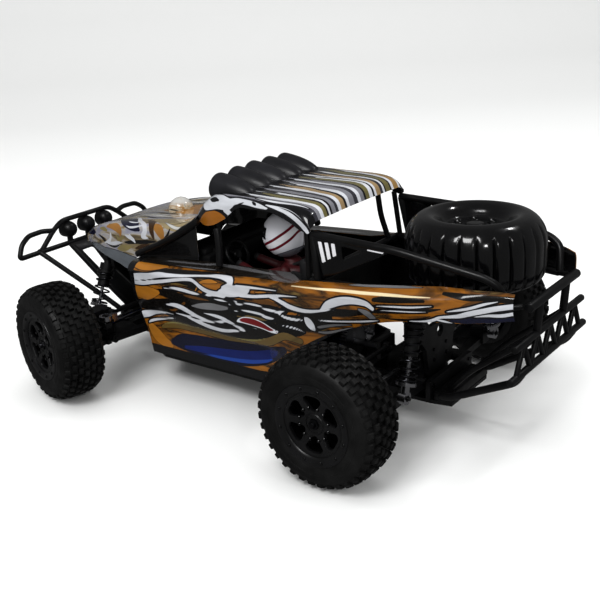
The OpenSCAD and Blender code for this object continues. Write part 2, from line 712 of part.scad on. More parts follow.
// Roof: each row is [x, middle height, edge height, half width, skirt's lower height]
ROOF = [[176, 172, 169, 58, 158], [166, 180, 176, 62, 156], [155, 184, 181, 65, 158],
        [142, 186, 183, 66, 164],
        [120, 185.5, 182.5, 67, 177], [95, 185, 182, 68, 177], [74, 184.5, 181.5, 69, 172],
                [62, 183.5, 180, 69, 166],
        [55, 180, 176.5, 69, 164], [52, 173, 171, 69, 166]];

function roof_row(r) = let (half = [[r[0], 0, r[1] + roof_z - 184],
        [r[0], 0.5 * r[3], r[1] - 0.5 + roof_z - 184],
        [r[0], r[3] - 9, r[2] + 1 + roof_z - 184], [r[0], r[3] - 3, r[2] - 2],
                [r[0], r[3], lerp(r[2], r[4], 0.55)],
        [r[0], r[3], r[4]]])
    concat([for (i = [5 : -1 : 1]) [half[i][0], -half[i][1], half[i][2]]], half);

module roof_shell() color(pale) car() {
    outer = [for (r = ROOF) roof_row(r)];
    inner = [for (row = outer) [for (j = [0 : len(row) - 1]) let (p = row[j],
            edge = j < 2 || j > len(row) - 3)
        [p[0], p[1] - (edge ? sign(p[1]) * shell_t : 0), p[2] - (edge ? 0 : shell_t)]]];
    skin([for (row = outer) [for (j = [len(row) - 1 : -1 : 0]) row[j]]],
         [for (row = inner) [for (j = [len(row) - 1 : -1 : 0]) row[j]]]);
}

// Five moulded lamp housings that taper back along the roof
lamp_profile = [[0, 0], [10.5, 0], [11.8, 2], [12, 9], [11.4, 15], [10, 22], [7.6, 30], [4, 38], [0, 42]];

module roof_light_pod() color(dark_grey) car() difference() {
    union() {
        for (i = [-2 : 2]) translate([165, i * 22, roof_z + 3.5 - 0.4 * i * i]) rotate([0, -93, 0])
            rotate_extrude() polygon(lamp_profile);
        box([150, -50, roof_z], [164, 50, roof_z + 6]);
    }
    // sits on the roof
    rotate([90, 0, 0]) translate([0, 0, -80]) linear_extrude(160) polygon(concat([[190, 150], [186, 164]],
        [for (r = ROOF) [r[0], r[1] + roof_z - 184 + 0.3]], [[52, 150]]));
}

// ---- cockpit, driver and spare ----

module cockpit_tub() car() {
    color(dark_grey) {
        // floor, firewall, side boxes and dash
        difference() {
            box([70, -58, 74], [206, 58, 112]);
            box([73, -55, 76], [203, 55, 113]);
        }
        box([172, -53, 110], [205, 53, 131]);
        // posts down to the chassis
        for (p = [[78, 50], [78, -50], [200, 8.5], [200, -8.5]]) translate([p[0], p[1],
                31]) cylinder(r = 3, h = 44);
        // steering wheel and column
        translate([164, 26, 121]) rotate([0, -62, 0]) rotate_extrude() translate([12, 0]) circle(r = 1.8);
        translate([164, 26, 121]) rotate([0, -62, 0]) cylinder(r = 11, h = 1.2);
        bar([163, 26, 121.5], [176, 26, 114.6], 2.3);
    }
    // seat back, and the driver's body
    color(red) {
        box([75, 6, 75], [86, 46, 133]);
        box([85, 9, 75], [120, 43, 95]);
        translate([100, 26, 90]) cylinder(r = 15, h = 34);
        translate([105, 26, 120]) cylinder(r = 7, h = 7);
        for (y = [11, 41]) {
            bar([101, y, 119], [128, y, 111], 4.2);
            bar([128, y, 111], [154, 26 + (y - 26) * 0.8, 118], 3.6);
            translate([128, y, 111]) sphere(r = 4.5);
        }
    }
}

module driver_helmet() color(pale) car() translate([110, 26, 146]) {
    difference() {
        union() {
            sphere(r = 20);
            rod_x(11, 0, -7, 12, 18);
        }
        translate([-25, -25, -40]) cube([50, 50, 21]);
    }
}

spare_x = -50;

module spare_wheel() color(black) car() translate([spare_x, 0, 125]) {
    r = spare_d / 2;
    lugs = 26;
    difference() {
        rotate_extrude() polygon([[0, 0], [r - 8, 0], [r - 2.5, 5], [r, 12], [r, 36], [r - 2, 43],
                [r - 8, 49.5],
            [r - 14, 51], [25, 47.5], [22.5, 42], [8, 41], [6.5, 43], [0, 43]]);
        for (i = [0 : lugs - 1]) rotate([0, 0, i * 360 / lugs]) translate([r + 1.2, 0, 4]) cylinder(r = 3,
                h = 38);
    }
    for (i = [0 : 5]) rotate([0, 0, i * 60]) translate([14.5, 0, 41]) cylinder(r = 2.6, h = 3);
}

module fasteners() color(steel) car() {
    // inner hinge pins of the arms
    for (x = [0, wheelbase]) both_sides() rod_x(x, inner_pin_y, arm_z, pin_r, 62);
    // screws that hold the shock towers to the gearboxes
    for (f = [true, false]) axle(f) both_sides() for (h = tower_screw_z) rod_x(16, tower_screw_y, h,
            pin_r, 10);
}

// ---- one solid or group of solids for each name ----

chassis_tray();
battery_pack();
motor();
speed_controller();
steering_servo();
car() axle(true) gearbox();  // front_gearbox
car() axle(false) gearbox();  // rear_gearbox
car() axle(true) shock_tower(true);  // front_shock_tower
car() axle(false) shock_tower(false);  // rear_shock_tower
front_bumper();
rear_bumper();
nose_shell();
side_panels();
roof_shell();
roof_light_pod();
roll_cage();
cockpit_tub();
driver_helmet();
spare_wheel();
fasteners();
centre_drive_shaft();
pinion_gear();
servo_horn();
steering_rack();
steered(CORNERS[0]) knuckle();  // left_knuckle
steered(CORNERS[1]) knuckle();  // right_knuckle
corner(CORNERS[0]) tie_rod(1);  // left_tie_rod
corner(CORNERS[1]) tie_rod(-1);  // right_tie_rod
for (c = CORNERS) {
    front = c[1] == 1;
    corner(c) arm(front);
    corner(c) hub(front);
    corner(c) upper_link(front);
    wheel_place(c) rim();
    wheel_place(c) tyre();
    shock_place(c) shock_body(front);
    shock_place(c) shock_shaft(front);
    shock_place(c) spring(front);
}
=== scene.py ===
import json
import math

import bmesh
import bpy
import numpy as np
from mathutils import Matrix, Vector


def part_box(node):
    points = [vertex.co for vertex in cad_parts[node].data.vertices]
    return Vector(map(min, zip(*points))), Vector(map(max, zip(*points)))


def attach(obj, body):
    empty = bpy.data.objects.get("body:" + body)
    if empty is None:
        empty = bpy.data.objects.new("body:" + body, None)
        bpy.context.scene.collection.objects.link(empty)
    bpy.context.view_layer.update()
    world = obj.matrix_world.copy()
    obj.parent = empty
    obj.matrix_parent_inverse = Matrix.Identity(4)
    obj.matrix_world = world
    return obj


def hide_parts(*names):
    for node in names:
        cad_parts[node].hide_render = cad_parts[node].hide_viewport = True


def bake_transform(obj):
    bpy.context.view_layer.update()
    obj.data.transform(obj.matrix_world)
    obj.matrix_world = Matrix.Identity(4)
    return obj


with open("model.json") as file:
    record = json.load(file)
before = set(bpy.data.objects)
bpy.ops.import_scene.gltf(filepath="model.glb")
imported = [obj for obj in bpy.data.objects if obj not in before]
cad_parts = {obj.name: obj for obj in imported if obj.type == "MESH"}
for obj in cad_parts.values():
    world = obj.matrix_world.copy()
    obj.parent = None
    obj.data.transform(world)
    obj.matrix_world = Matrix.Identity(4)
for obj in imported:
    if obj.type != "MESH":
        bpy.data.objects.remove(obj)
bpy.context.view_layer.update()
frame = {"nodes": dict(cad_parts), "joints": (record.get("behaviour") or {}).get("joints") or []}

MM = 0.001
FAR = 99.0                       # a distance in millimetres that no stroke of paint reaches
SKIN = 1.0                       # thickness of the painted shells
JOINTS = {j["name"]: j for j in frame["joints"]}
CORNERS = ("front_left", "front_right", "rear_left", "rear_right")


def middle(node):
    low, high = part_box(node)
    return (low + high) / 2


REAR_X = middle("rear_left_tyre").x
FRONT = (middle("front_gearbox").x - REAR_X) / MM


def row(points):
    """Millimetres in the car's frame to metres in the row frame."""
    return np.asarray(points, float) * MM + np.array([REAR_X, 0, 0])


# ---------------------------------------------------------------- curves and solids

def unit(v):
    return v / max(np.linalg.norm(v), 1e-9)


def catmull(points, per=6):
    """A smooth curve through the points, with per steps between each pair."""
    p = np.asarray(points, float)
    ends = np.vstack([2 * p[0] - p[1], p, 2 * p[-1] - p[-2]])
    out = []
    for a, b, c, d in zip(ends, ends[1:], ends[2:], ends[3:]):
        for t in np.linspace(0, 1, per, endpoint=False):
            out.append(b + 0.5 * t * (c - a + t * (2 * a - 5 * b + 4 * c - d + t * (3 * (b - c) + d - a))))
    return np.array(out + [p[-1]])


def gentle(points, count):
    """Points resampled along axis 0 on a curve that never overshoots them."""
    p = np.asarray(points, float)
    step = np.diff(p, axis=0)
    slope = np.zeros_like(p)
    same = step[:-1] * step[1:] > 0
    total = step[:-1] + step[1:]
    slope[1:-1] = np.where(same, 2 * step[:-1] * step[1:] / np.where(same, total, 1), 0)
    slope[0], slope[-1] = step[0], step[-1]
    place = np.linspace(0, len(p) - 1, count)
    i = np.minimum(place.astype(int), len(p) - 2)
    t = (place - i).reshape((-1,) + (1,) * (p.ndim - 1))
    a, b, m, n = p[i], p[i + 1], slope[i], slope[i + 1]
    return a + t * (m + t * (3 * (b - a) - 2 * m - n + t * (m + n - 2 * (b - a))))


def smooth_grid(grid, rows, cols):
    dense = gentle(grid, rows)
    return np.swapaxes(gentle(np.swapaxes(dense, 0, 1), cols), 0, 1)


def grid_faces(rows, cols, wrap_rows=False, wrap_cols=False):
    faces = []
    for i in range(rows if wrap_rows else rows - 1):
        for j in range(cols if wrap_cols else cols - 1):
            k, n = (i + 1) % rows, (j + 1) % cols
            faces.append((i * cols + j, i * cols + n, k * cols + n, k * cols + j))
    return faces


def join(parts):
    verts, faces, start = [], [], 0
    for v, f in parts:
        verts.append(np.asarray(v, float).reshape(-1, 3))
        faces += [tuple(k + start for k in face) for face in f]
        start += len(verts[-1])
    return np.vstack(verts), faces


def both_sides(part):
    """A part and its mirror image on the car's other side."""
    verts, faces = part
    return join([part, (np.array(verts, float) * [1, -1, 1], [face[::-1] for face in faces])])


def arc_at(before, corner, after, bend, count):
    """Points on a curve that rounds off one corner of a path."""
    reach = min(bend, 0.45 * np.linalg.norm(before - corner), 0.45 * np.linalg.norm(after - corner))
    a, b = corner + reach * unit(before - corner), corner + reach * unit(after - corner)
    return [(1 - t) ** 2 * a + 2 * t * (1 - t) * corner + t * t * b for t in np.linspace(0, 1, count)]


def rounded_path(points, bend):
    """A path in space with its corners rounded."""
    pts = np.asarray(points, float)
    path = [pts[0]]
    for before, corner, after in zip(pts, pts[1:], pts[2:]):
        path += arc_at(before, corner, after, bend, 6)
    return np.array(path + [pts[-1]])


def rounded(points, radius, per=5):
    """A polygon's outline with its corners rounded."""
    pts = np.asarray(points, float)
    out = []
    for before, corner, after in zip(np.roll(pts, 1, 0), pts, np.roll(pts, -1, 0)):
        out += [tuple(p) for p in arc_at(before, corner, after, radius, per)]
    return out


def sweep(path, radii, sides):
    """A round tube along a path; radii holds one radius for each point."""
    tangents = np.array([unit(t) for t in np.gradient(path, axis=0)])
    normal = unit(np.cross(tangents[0], [0.31, 0.17, 0.93] if abs(tangents[0][2]) < 0.9 else [1, 0, 0]))
    angles = np.linspace(0, 2 * np.pi, sides, endpoint=False)
    rings = []
    for p, t, r in zip(path, tangents, radii):
        normal = unit(normal - t * (normal @ t))
        side = np.cross(t, normal)
        rings.append(p + r * (np.outer(np.cos(angles), normal) + np.outer(np.sin(angles), side)))
    verts = np.vstack(rings)
    faces = grid_faces(len(path), sides, wrap_cols=True)
    return verts, faces + [tuple(range(sides))[::-1], tuple(range(len(verts) - sides, len(verts)))]


def pipe(points, radius, bend=7.0, sides=14):
    """A moulded tube with rounded corners and softly domed ends."""
    path = rounded_path(points, bend)
    first, last = unit(path[1] - path[0]), unit(path[-1] - path[-2])
    path = np.vstack([path[0], path[0] + 0.12 * radius * first, path[0] + 0.35 * radius * first,
                      path[1:-1], path[-1] - 0.35 * radius * last, path[-1] - 0.12 * radius * last, path[-1]])
    radii = np.full(len(path), float(radius))
    radii[[0, -1]] *= 0.72
    radii[[1, -2]] *= 0.92
    return sweep(path, radii, sides)


def lathe(profile, centre=(0, 0, 0), axis=(0, 1, 0), segments=64, closed=False):
    """A profile of (radius, height) turned about an axis."""
    axis = unit(np.array(axis, float))
    e1 = unit(np.cross(axis, [0, 0, 1] if abs(axis[2]) < 0.9 else [1, 0, 0]))
    e2 = np.cross(axis, e1)
    profile = np.asarray(profile, float)
    angles = np.linspace(0, 2 * np.pi, segments, endpoint=False)
    around = np.outer(np.cos(angles), e1) + np.outer(np.sin(angles), e2)
    verts = around[:, None, :] * profile[None, :, :1] + axis * profile[None, :, 1:] + np.array(centre)
    return verts.reshape(-1, 3), grid_faces(segments, len(profile), wrap_rows=True, wrap_cols=closed)


def from_bmesh(bm):
    bm.verts.index_update()
    verts = np.array([v.co for v in bm.verts])
    faces = [tuple(v.index for v in f.verts) for f in bm.faces]
    bm.free()
    return verts, faces


def block(low, high, bevel=0.6):
    """A box with rounded edges."""
    bm = bmesh.new()
    bmesh.ops.create_cube(bm, size=1)
    low, high = np.array(low, float), np.array(high, float)
    for v in bm.verts:
        v.co = Vector((low + high) / 2 + np.array(v.co) * (high - low))
    bmesh.ops.bevel(bm, geom=bm.edges[:], offset=bevel, segments=2, profile=0.5, affect="EDGES")
    return from_bmesh(bm)


def plate(outline, holes, place, depth, bevel=0.4):
    """A flat outline (u, v) with holes, made solid; place turns (u, v, w) into a point of the car's frame."""
    bm = bmesh.new()
    for loop in [outline] + list(holes):
        ring = [bm.verts.new((u, v, 0)) for u, v in loop]
        for a, b in zip(ring, ring[1:] + ring[:1]):
            bm.edges.new((a, b))
    bmesh.ops.triangle_fill(bm, use_beauty=True, use_dissolve=False, edges=bm.edges[:], normal=(0, 0, 1))
    top = bmesh.ops.extrude_face_region(bm, geom=bm.faces[:])
    for v in top["geom"]:
        if isinstance(v, bmesh.types.BMVert):
            v.co.z = depth
    bmesh.ops.recalc_face_normals(bm, faces=bm.faces)
    if bevel:
        sharp = [e for e in bm.edges if len(e.link_faces) == 2
                 and abs(e.verts[0].co.z - e.verts[1].co.z) < 1e-6 and e.calc_face_angle() > 1]
        bmesh.ops.bevel(bm, geom=sharp, offset=bevel, segments=2, profile=0.5, affect="EDGES")
    verts, faces = from_bmesh(bm)
    return np.array([place(*v) for v in verts]), faces


def ring_of(radius, count):
    angles = np.linspace(0, 2 * np.pi, count, endpoint=False)
    return [(radius * math.cos(a), radius * math.sin(a)) for a in angles]


def normals(grid):
    du, dv = np.gradient(grid, axis=0), np.gradient(grid, axis=1)
    n = np.cross(du, dv)
    return n / np.maximum(np.linalg.norm(n, axis=2, keepdims=True), 1e-9)


def shell(grid, thickness):
    """A closed skin: the grid, a copy moved against its normals, and the edges between them."""
    rows, cols = grid.shape[:2]
    inner = grid - normals(grid) * thickness
    n = rows * cols
    faces = grid_faces(rows, cols)
    faces = faces + [tuple(k + n for k in f[::-1]) for f in faces]
    rim = ([(0, j) for j in range(cols)] + [(i, cols - 1) for i in range(1, rows)]
           + [(rows - 1, j) for j in range(cols - 2, -1, -1)] + [(i, 0) for i in range(rows - 2, 0, -1)])
    loop = [i * cols + j for i, j in rim]
    for a, b in zip(loop, loop[1:] + loop[:1]):
        faces.append((b, a, a + n, b + n))
    return np.vstack([grid.reshape(-1, 3), inner.reshape(-1, 3)]), faces


def piece(name, part, body, material, slot, replaces, sharp=35, merge=True, fields=None):
    """A Blender object from millimetre geometry, riding on a CAD body."""
    verts, faces = part
    mesh = bpy.data.meshes.new(name)
    mesh.from_pydata(row(verts).tolist(), [], [list(f) for f in faces])
    for key, values in (fields or {}).items():
        mesh.attributes.new(key, "FLOAT", "POINT").data.foreach_set("value", np.asarray(values, np.float32))
    bm = bmesh.new()
    bm.from_mesh(mesh)
    if merge:
        bmesh.ops.remove_doubles(bm, verts=bm.verts, dist=3e-6)
        bmesh.ops.dissolve_degenerate(bm, dist=1e-6, edges=bm.edges)
    bmesh.ops.recalc_face_normals(bm, faces=bm.faces)
    bm.to_mesh(mesh)
    bm.free()
    mesh.polygons.foreach_set("use_smooth", [True] * len(mesh.polygons))
    mesh.set_sharp_from_angle(angle=math.radians(sharp))
    mesh.materials.append(material)
    obj = bpy.data.objects.new(name, mesh)
    bpy.context.scene.collection.objects.link(obj)
    if body:
        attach(obj, body)
    if replaces:
        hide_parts(*replaces)
    return obj


# ---------------------------------------------------------------- materials

def srgb(r, g, b):
    """A colour as screens name it, from 0 to 255, in the linear values that Blender works in."""
    linear = [c / 255 / 12.92 if c <= 10 else ((c / 255 + 0.055) / 1.055) ** 2.4 for c in (r, g, b)]
    return tuple(linear) + (1.0,)


BLACK = srgb(14, 14, 16)
WHITE = srgb(188, 190, 195)
ORANGE = srgb(158, 104, 34)
OCHRE = srgb(128, 80, 22)
BROWN = srgb(84, 54, 22)
KHAKI = srgb(96, 78, 42)
TAN = srgb(186, 152, 104)
NAVY = srgb(14, 16, 38)
BLUE = srgb(10, 28, 92)
LAVENDER = srgb(176, 176, 198)


class Nodes:
    """Short names for building one material's node tree."""

    def __init__(self, name):
        self.material = bpy.data.materials.new(name)
        self.material.use_nodes = True
        self.tree = self.material.node_tree
        self.shader = self.tree.nodes["Principled BSDF"]
        self.coords = self.tree.nodes.new("ShaderNodeTexCoord").outputs["Object"]

    def link(self, a, b):
        self.tree.links.new(a, b)

    def mapped(self, scale=(1, 1, 1)):
        node = self.tree.nodes.new("ShaderNodeMapping")
        node.inputs["Scale"].default_value = scale
        self.link(self.coords, node.inputs["Vector"])
        return node.outputs["Vector"]

    def noise(self, scale, detail=3.0, vector=None, distortion=0.0):
        node = self.tree.nodes.new("ShaderNodeTexNoise")
        node.inputs["Scale"].default_value = scale
        node.inputs["Detail"].default_value = detail
        node.inputs["Distortion"].default_value = distortion
        self.link(vector if vector is not None else self.coords, node.inputs["Vector"])
        return node.outputs["Fac"]

    def remap(self, value, low, high, to_low=0.0, to_high=1.0):
        node = self.tree.nodes.new("ShaderNodeMapRange")
        for key, number in (("From Min", low), ("From Max", high), ("To Min", to_low), ("To Max", to_high)):
            node.inputs[key].default_value = number
        self.link(value, node.inputs["Value"])
        return node.outputs["Result"]

    def ramp(self, value, stops, constant=False):
        node = self.tree.nodes.new("ShaderNodeValToRGB")
        node.color_ramp.interpolation = "CONSTANT" if constant else "LINEAR"
        elements = node.color_ramp.elements
        while len(elements) < len(stops):
            elements.new(0.5)
        for element, (place, colour) in zip(elements, stops):
            element.position = place
            element.color = colour
        self.link(value, node.inputs["Fac"])
        return node.outputs["Color"]

    def mix(self, factor, a, b):
        node = self.tree.nodes.new("ShaderNodeMix")
        node.data_type = "RGBA"
        self.link(factor, node.inputs[0])
        for socket, value in ((node.inputs[6], a), (node.inputs[7], b)):
            if isinstance(value, tuple):
                socket.default_value = value
            else:
                self.link(value, socket)
        return node.outputs[2]

    def math(self, operation, a, b):
        node = self.tree.nodes.new("ShaderNodeMath")
        node.operation = operation
        for socket, value in zip(node.inputs, (a, b)):
            if isinstance(value, float):
                socket.default_value = value
            else:
                self.link(value, socket)
        return node.outputs[0]

    def field(self, name):
        node = self.tree.nodes.new("ShaderNodeAttribute")
        node.attribute_name = name
        return node.outputs["Fac"]

    def bump(self, height, strength, distance):
        node = self.tree.nodes.new("ShaderNodeBump")
        node.inputs["Strength"].default_value = strength
        node.inputs["Distance"].default_value = distance
        self.link(height, node.inputs["Height"])
        self.link(node.outputs["Normal"], self.shader.inputs["Normal"])

    def set(self, **values):
        for key, value in values.items():
            self.shader.inputs[key.replace("_", " ")].default_value = value


def plain(name, colour, rough=(0.4, 0.5), metal=0.0, coat=0.0, grain=900.0, bump=0.1, vary=0.25,
          specular=0.5):
    """A moulded or machined surface with fine grain, slight colour variation and uneven gloss."""
    n = Nodes(name)
    n.set(Metallic=metal, Coat_Weight=coat, Coat_Roughness=0.08, Specular_IOR_Level=specular)
    dark = tuple(c * (1 - vary) for c in colour[:3]) + (1.0,)
    light = tuple(min(1.0, c * (1 + vary)) for c in colour[:3]) + (1.0,)
    n.link(n.mix(n.remap(n.noise(45, 4), 0.35, 0.65), dark, light), n.shader.inputs["Base Color"])
    n.link(n.remap(n.noise(120, 4), 0.35, 0.65, *rough), n.shader.inputs["Roughness"])
    n.bump(n.noise(grain, 2), bump, 0.0002)
    return n.material


def painted(name, base, layers):
    """Clear-coated paint. Each layer is (field, fill, outline width, outline colour): the field is the
    distance to the painted shape in millimetres, so the shape's edge stays sharp at any size."""
    n = Nodes(name)
    edge = 0.16
    colour = base(n) if callable(base) else base
    for key, fill, width, outline in layers:
        distance = n.field(key)
        if width:
            colour = n.mix(n.remap(distance, width - edge, width + edge, 1.0, 0.0), colour, outline)
        shade = n.mix(n.remap(n.noise(60, 5, n.mapped((0.5, 1, 2.2))), 0.38, 0.66),
                      tuple(c * 0.8 for c in fill[:3]) + (1.0,), fill)
        colour = n.mix(n.remap(distance, -edge, edge, 1.0, 0.0), colour, shade)
    colour = n.mix(n.remap(n.field("inside"), 0.45, 0.55), colour, srgb(12, 12, 13))
    if isinstance(colour, tuple):
        n.shader.inputs["Base Color"].default_value = colour
    else:
        n.link(colour, n.shader.inputs["Base Color"])
    n.set(Coat_Weight=0.7, Coat_Roughness=0.04, Specular_IOR_Level=0.3)
    n.link(n.remap(n.noise(90, 4), 0.3, 0.7, 0.16, 0.26), n.shader.inputs["Roughness"])
    n.bump(n.noise(170, 2), 0.12, 0.0006)
    return n.material


SATIN_BLACK = plain("satin_black_nylon", srgb(11, 11, 12), (0.3, 0.42), grain=1400, bump=0.16, vary=0.3,
                    specular=0.36)
MATT_BLACK = plain("matt_black_plastic", srgb(8, 8, 9), (0.5, 0.62), grain=1100, bump=0.16, specular=0.3)
GLOSS_BLACK = plain("gloss_black", srgb(5, 5, 6), (0.1, 0.2), coat=0.3, grain=300, bump=0.05, specular=0.4)
POD_BLACK = plain("lamp_pod_black", srgb(27, 27, 30), (0.32, 0.42), grain=700, bump=0.08, specular=0.4)
RIM_BLACK = plain("rim_black", srgb(15, 15, 16), (0.26, 0.38), grain=900, bump=0.1, specular=0.4)
STEEL = plain("bright_steel", srgb(188, 188, 192), (0.16, 0.3), metal=1.0, grain=1600, bump=0.08, vary=0.1)
CHROME = plain("spring_dark_steel", srgb(66, 66, 70), (0.16, 0.28), metal=1.0, grain=1600, bump=0.03,
               vary=0.06)
# near-black matt finish for a drum behind the spoke windows: painted shade that keeps the windows dark
SHADE_DRUM_BLACK = plain("wheel_well_painted_shade", srgb(3, 3, 3), (0.7, 0.8), bump=0.05, specular=0.1)
BOLT_DARK = plain("blackened_steel", srgb(52, 52, 55), (0.25, 0.4), metal=1.0, grain=1500, bump=0.08,
                  vary=0.15)
GREY_METAL = plain("machined_grey", srgb(120, 120, 124), (0.25, 0.4), metal=1.0, grain=1500, bump=0.12,
                   vary=0.15)
WRAP_BLUE = plain("battery_wrap_blue", srgb(18, 40, 130), (0.2, 0.34), coat=0.4, bump=0.08)
SUIT_RED = plain("driver_suit_red", srgb(66, 6, 12), (0.5, 0.64), grain=1800, bump=0.35)
GLOVE = plain("driver_glove_black", srgb(22, 22, 24), (0.6, 0.72), grain=1800, bump=0.4)


def rubber():
    """Soft black rubber: dull, a little grey and dusty in random patches."""
    n = Nodes("tyre_rubber")
    n.set(Specular_IOR_Level=0.3)
    dust = n.remap(n.noise(70, 5), 0.42, 0.72)
    n.link(n.mix(dust, srgb(9, 9, 9), srgb(20, 20, 20)), n.shader.inputs["Base Color"])
    n.link(n.remap(n.noise(200, 3), 0.3, 0.7, 0.42, 0.6), n.shader.inputs["Roughness"])
    n.bump(n.noise(1500, 3), 0.3, 0.0003)
    return n.material


RUBBER = rubber()


# ---------------------------------------------------------------- brush strokes of the livery

def stroke(points, u, v):
    """Distance from each (u, v) to a brush stroke through (u, v, half width) points, less its half width."""
    line = catmull(points, 5)
    best = np.full(np.shape(u), 1e3)
    for (x0, y0, w0), (x1, y1, w1) in zip(line, line[1:]):
        dx, dy = x1 - x0, y1 - y0
        t = np.clip(((u - x0) * dx + (v - y0) * dy) / max(dx * dx + dy * dy, 1e-9), 0, 1)
        half = np.maximum(w0 + t * (w1 - w0), 0)
        best = np.minimum(best, np.hypot(u - x0 - t * dx, v - y0 - t * dy) - half)
    return best


def strokes(lines, u, v):
    best = np.full(np.shape(u), FAR)
    for line in lines:
        best = np.minimum(best, stroke(line, u, v))
    return best


def across(grid):
    """Signed distance along each row of a grid from its middle column."""
    step = np.linalg.norm(np.diff(grid, axis=1), axis=2)
    along = np.concatenate([np.zeros((grid.shape[0], 1)), np.cumsum(step, axis=1)], axis=1)
    return along - along[:, [grid.shape[1] // 2]]


def skin(name, grid, material, slot, replaces, layers, u, v, extra=None, sharp=50, merge=False):
    """A painted shell on the chassis: the livery's fields on its outer face, black inside."""
    inner = np.full(u.size, FAR)
    values = {key: strokes(lines, u, v) for key, lines in layers.items()}
    values.update(extra or {})
    fields = {key: np.concatenate([value.ravel(), inner]) for key, value in values.items()}
    fields["inside"] = np.repeat([0.0, 1.0], u.size)
    return piece(name, shell(grid, SKIN), "chassis", material, slot, replaces, sharp, merge, fields)


# ---------------------------------------------------------------- side panels

PANEL_LOW = [(-107, 118), (-95, 117), (-80, 116), (-60, 115), (-35, 113), (-15, 109), (3, 103), (23, 94),
             (45, 80), (66, 62), (88, 38), (96, 31.5), (250, 31.5)]
PANEL_TOP = [(-107, 136), (-95, 138), (-80, 138.5), (-40, 136), (0, 132), (40, 128), (70, 125), (150, 122),
             (200, 119), (250, 115)]
PANEL_Y = [(-107, 57), (-95, 64), (-80, 72), (-40, 81), (0, 85), (100, 86), (200, 84), (250, 78)]
PANEL_LEDGE = [(-107, 3), (-85, 5), (-60, 12), (60, 12), (80, 28), (230, 26), (250, 18)]
PANEL_WAIST = [(90, 66), (236, 70)]
PANEL_LEAN = [(200, 0), (250, 1)]
PANEL_COLUMNS = 96
LEDGE_COLUMN = 80                # where the side turns in to the ledge
PAINT_END = 240.5                # the panel is plain black ahead of here


def lookup(table, x):
    xs, ys = zip(*table)
    return float(np.interp(x, xs, ys))


def lerp(a, b, t):
    return a + (b - a) * t


def panel_section(x):
    low, top, y = lookup(PANEL_LOW, x), lookup(PANEL_TOP, x), lookup(PANEL_Y, x)
    lean, ledge = lookup(PANEL_LEAN, x), lookup(PANEL_LEDGE, x)
    waist = max(lookup(PANEL_WAIST, x), low + 0.25 * (top - low))
    deep = min(max((60 - low) / 28, 0), 1)
    side, curl = top - waist, min(1, ledge / 12)
    return [(x - 16 * lean, lerp(y - 3, 71, deep), low),
            (x - 14 * lean, lerp(y - 2, 73, deep), lerp(low, waist, 0.55)),
            (x - 11 * lean, lerp(y - 1, 75, deep), lerp(low, waist, 0.95)),
            (x - 7 * lean, lerp(y, y - 5, deep), waist + min(3, 0.2 * side)),
            (x - 5 * lean, y, waist + 0.5 * side),
            (x - 2 * lean, y, top - min(7, 0.35 * side)),
            (x, y - 3 * curl, top - min(2.5, 0.12 * side)),
            (x, y - 7 * curl, top),
            (x, y - ledge, top + 1.5)]


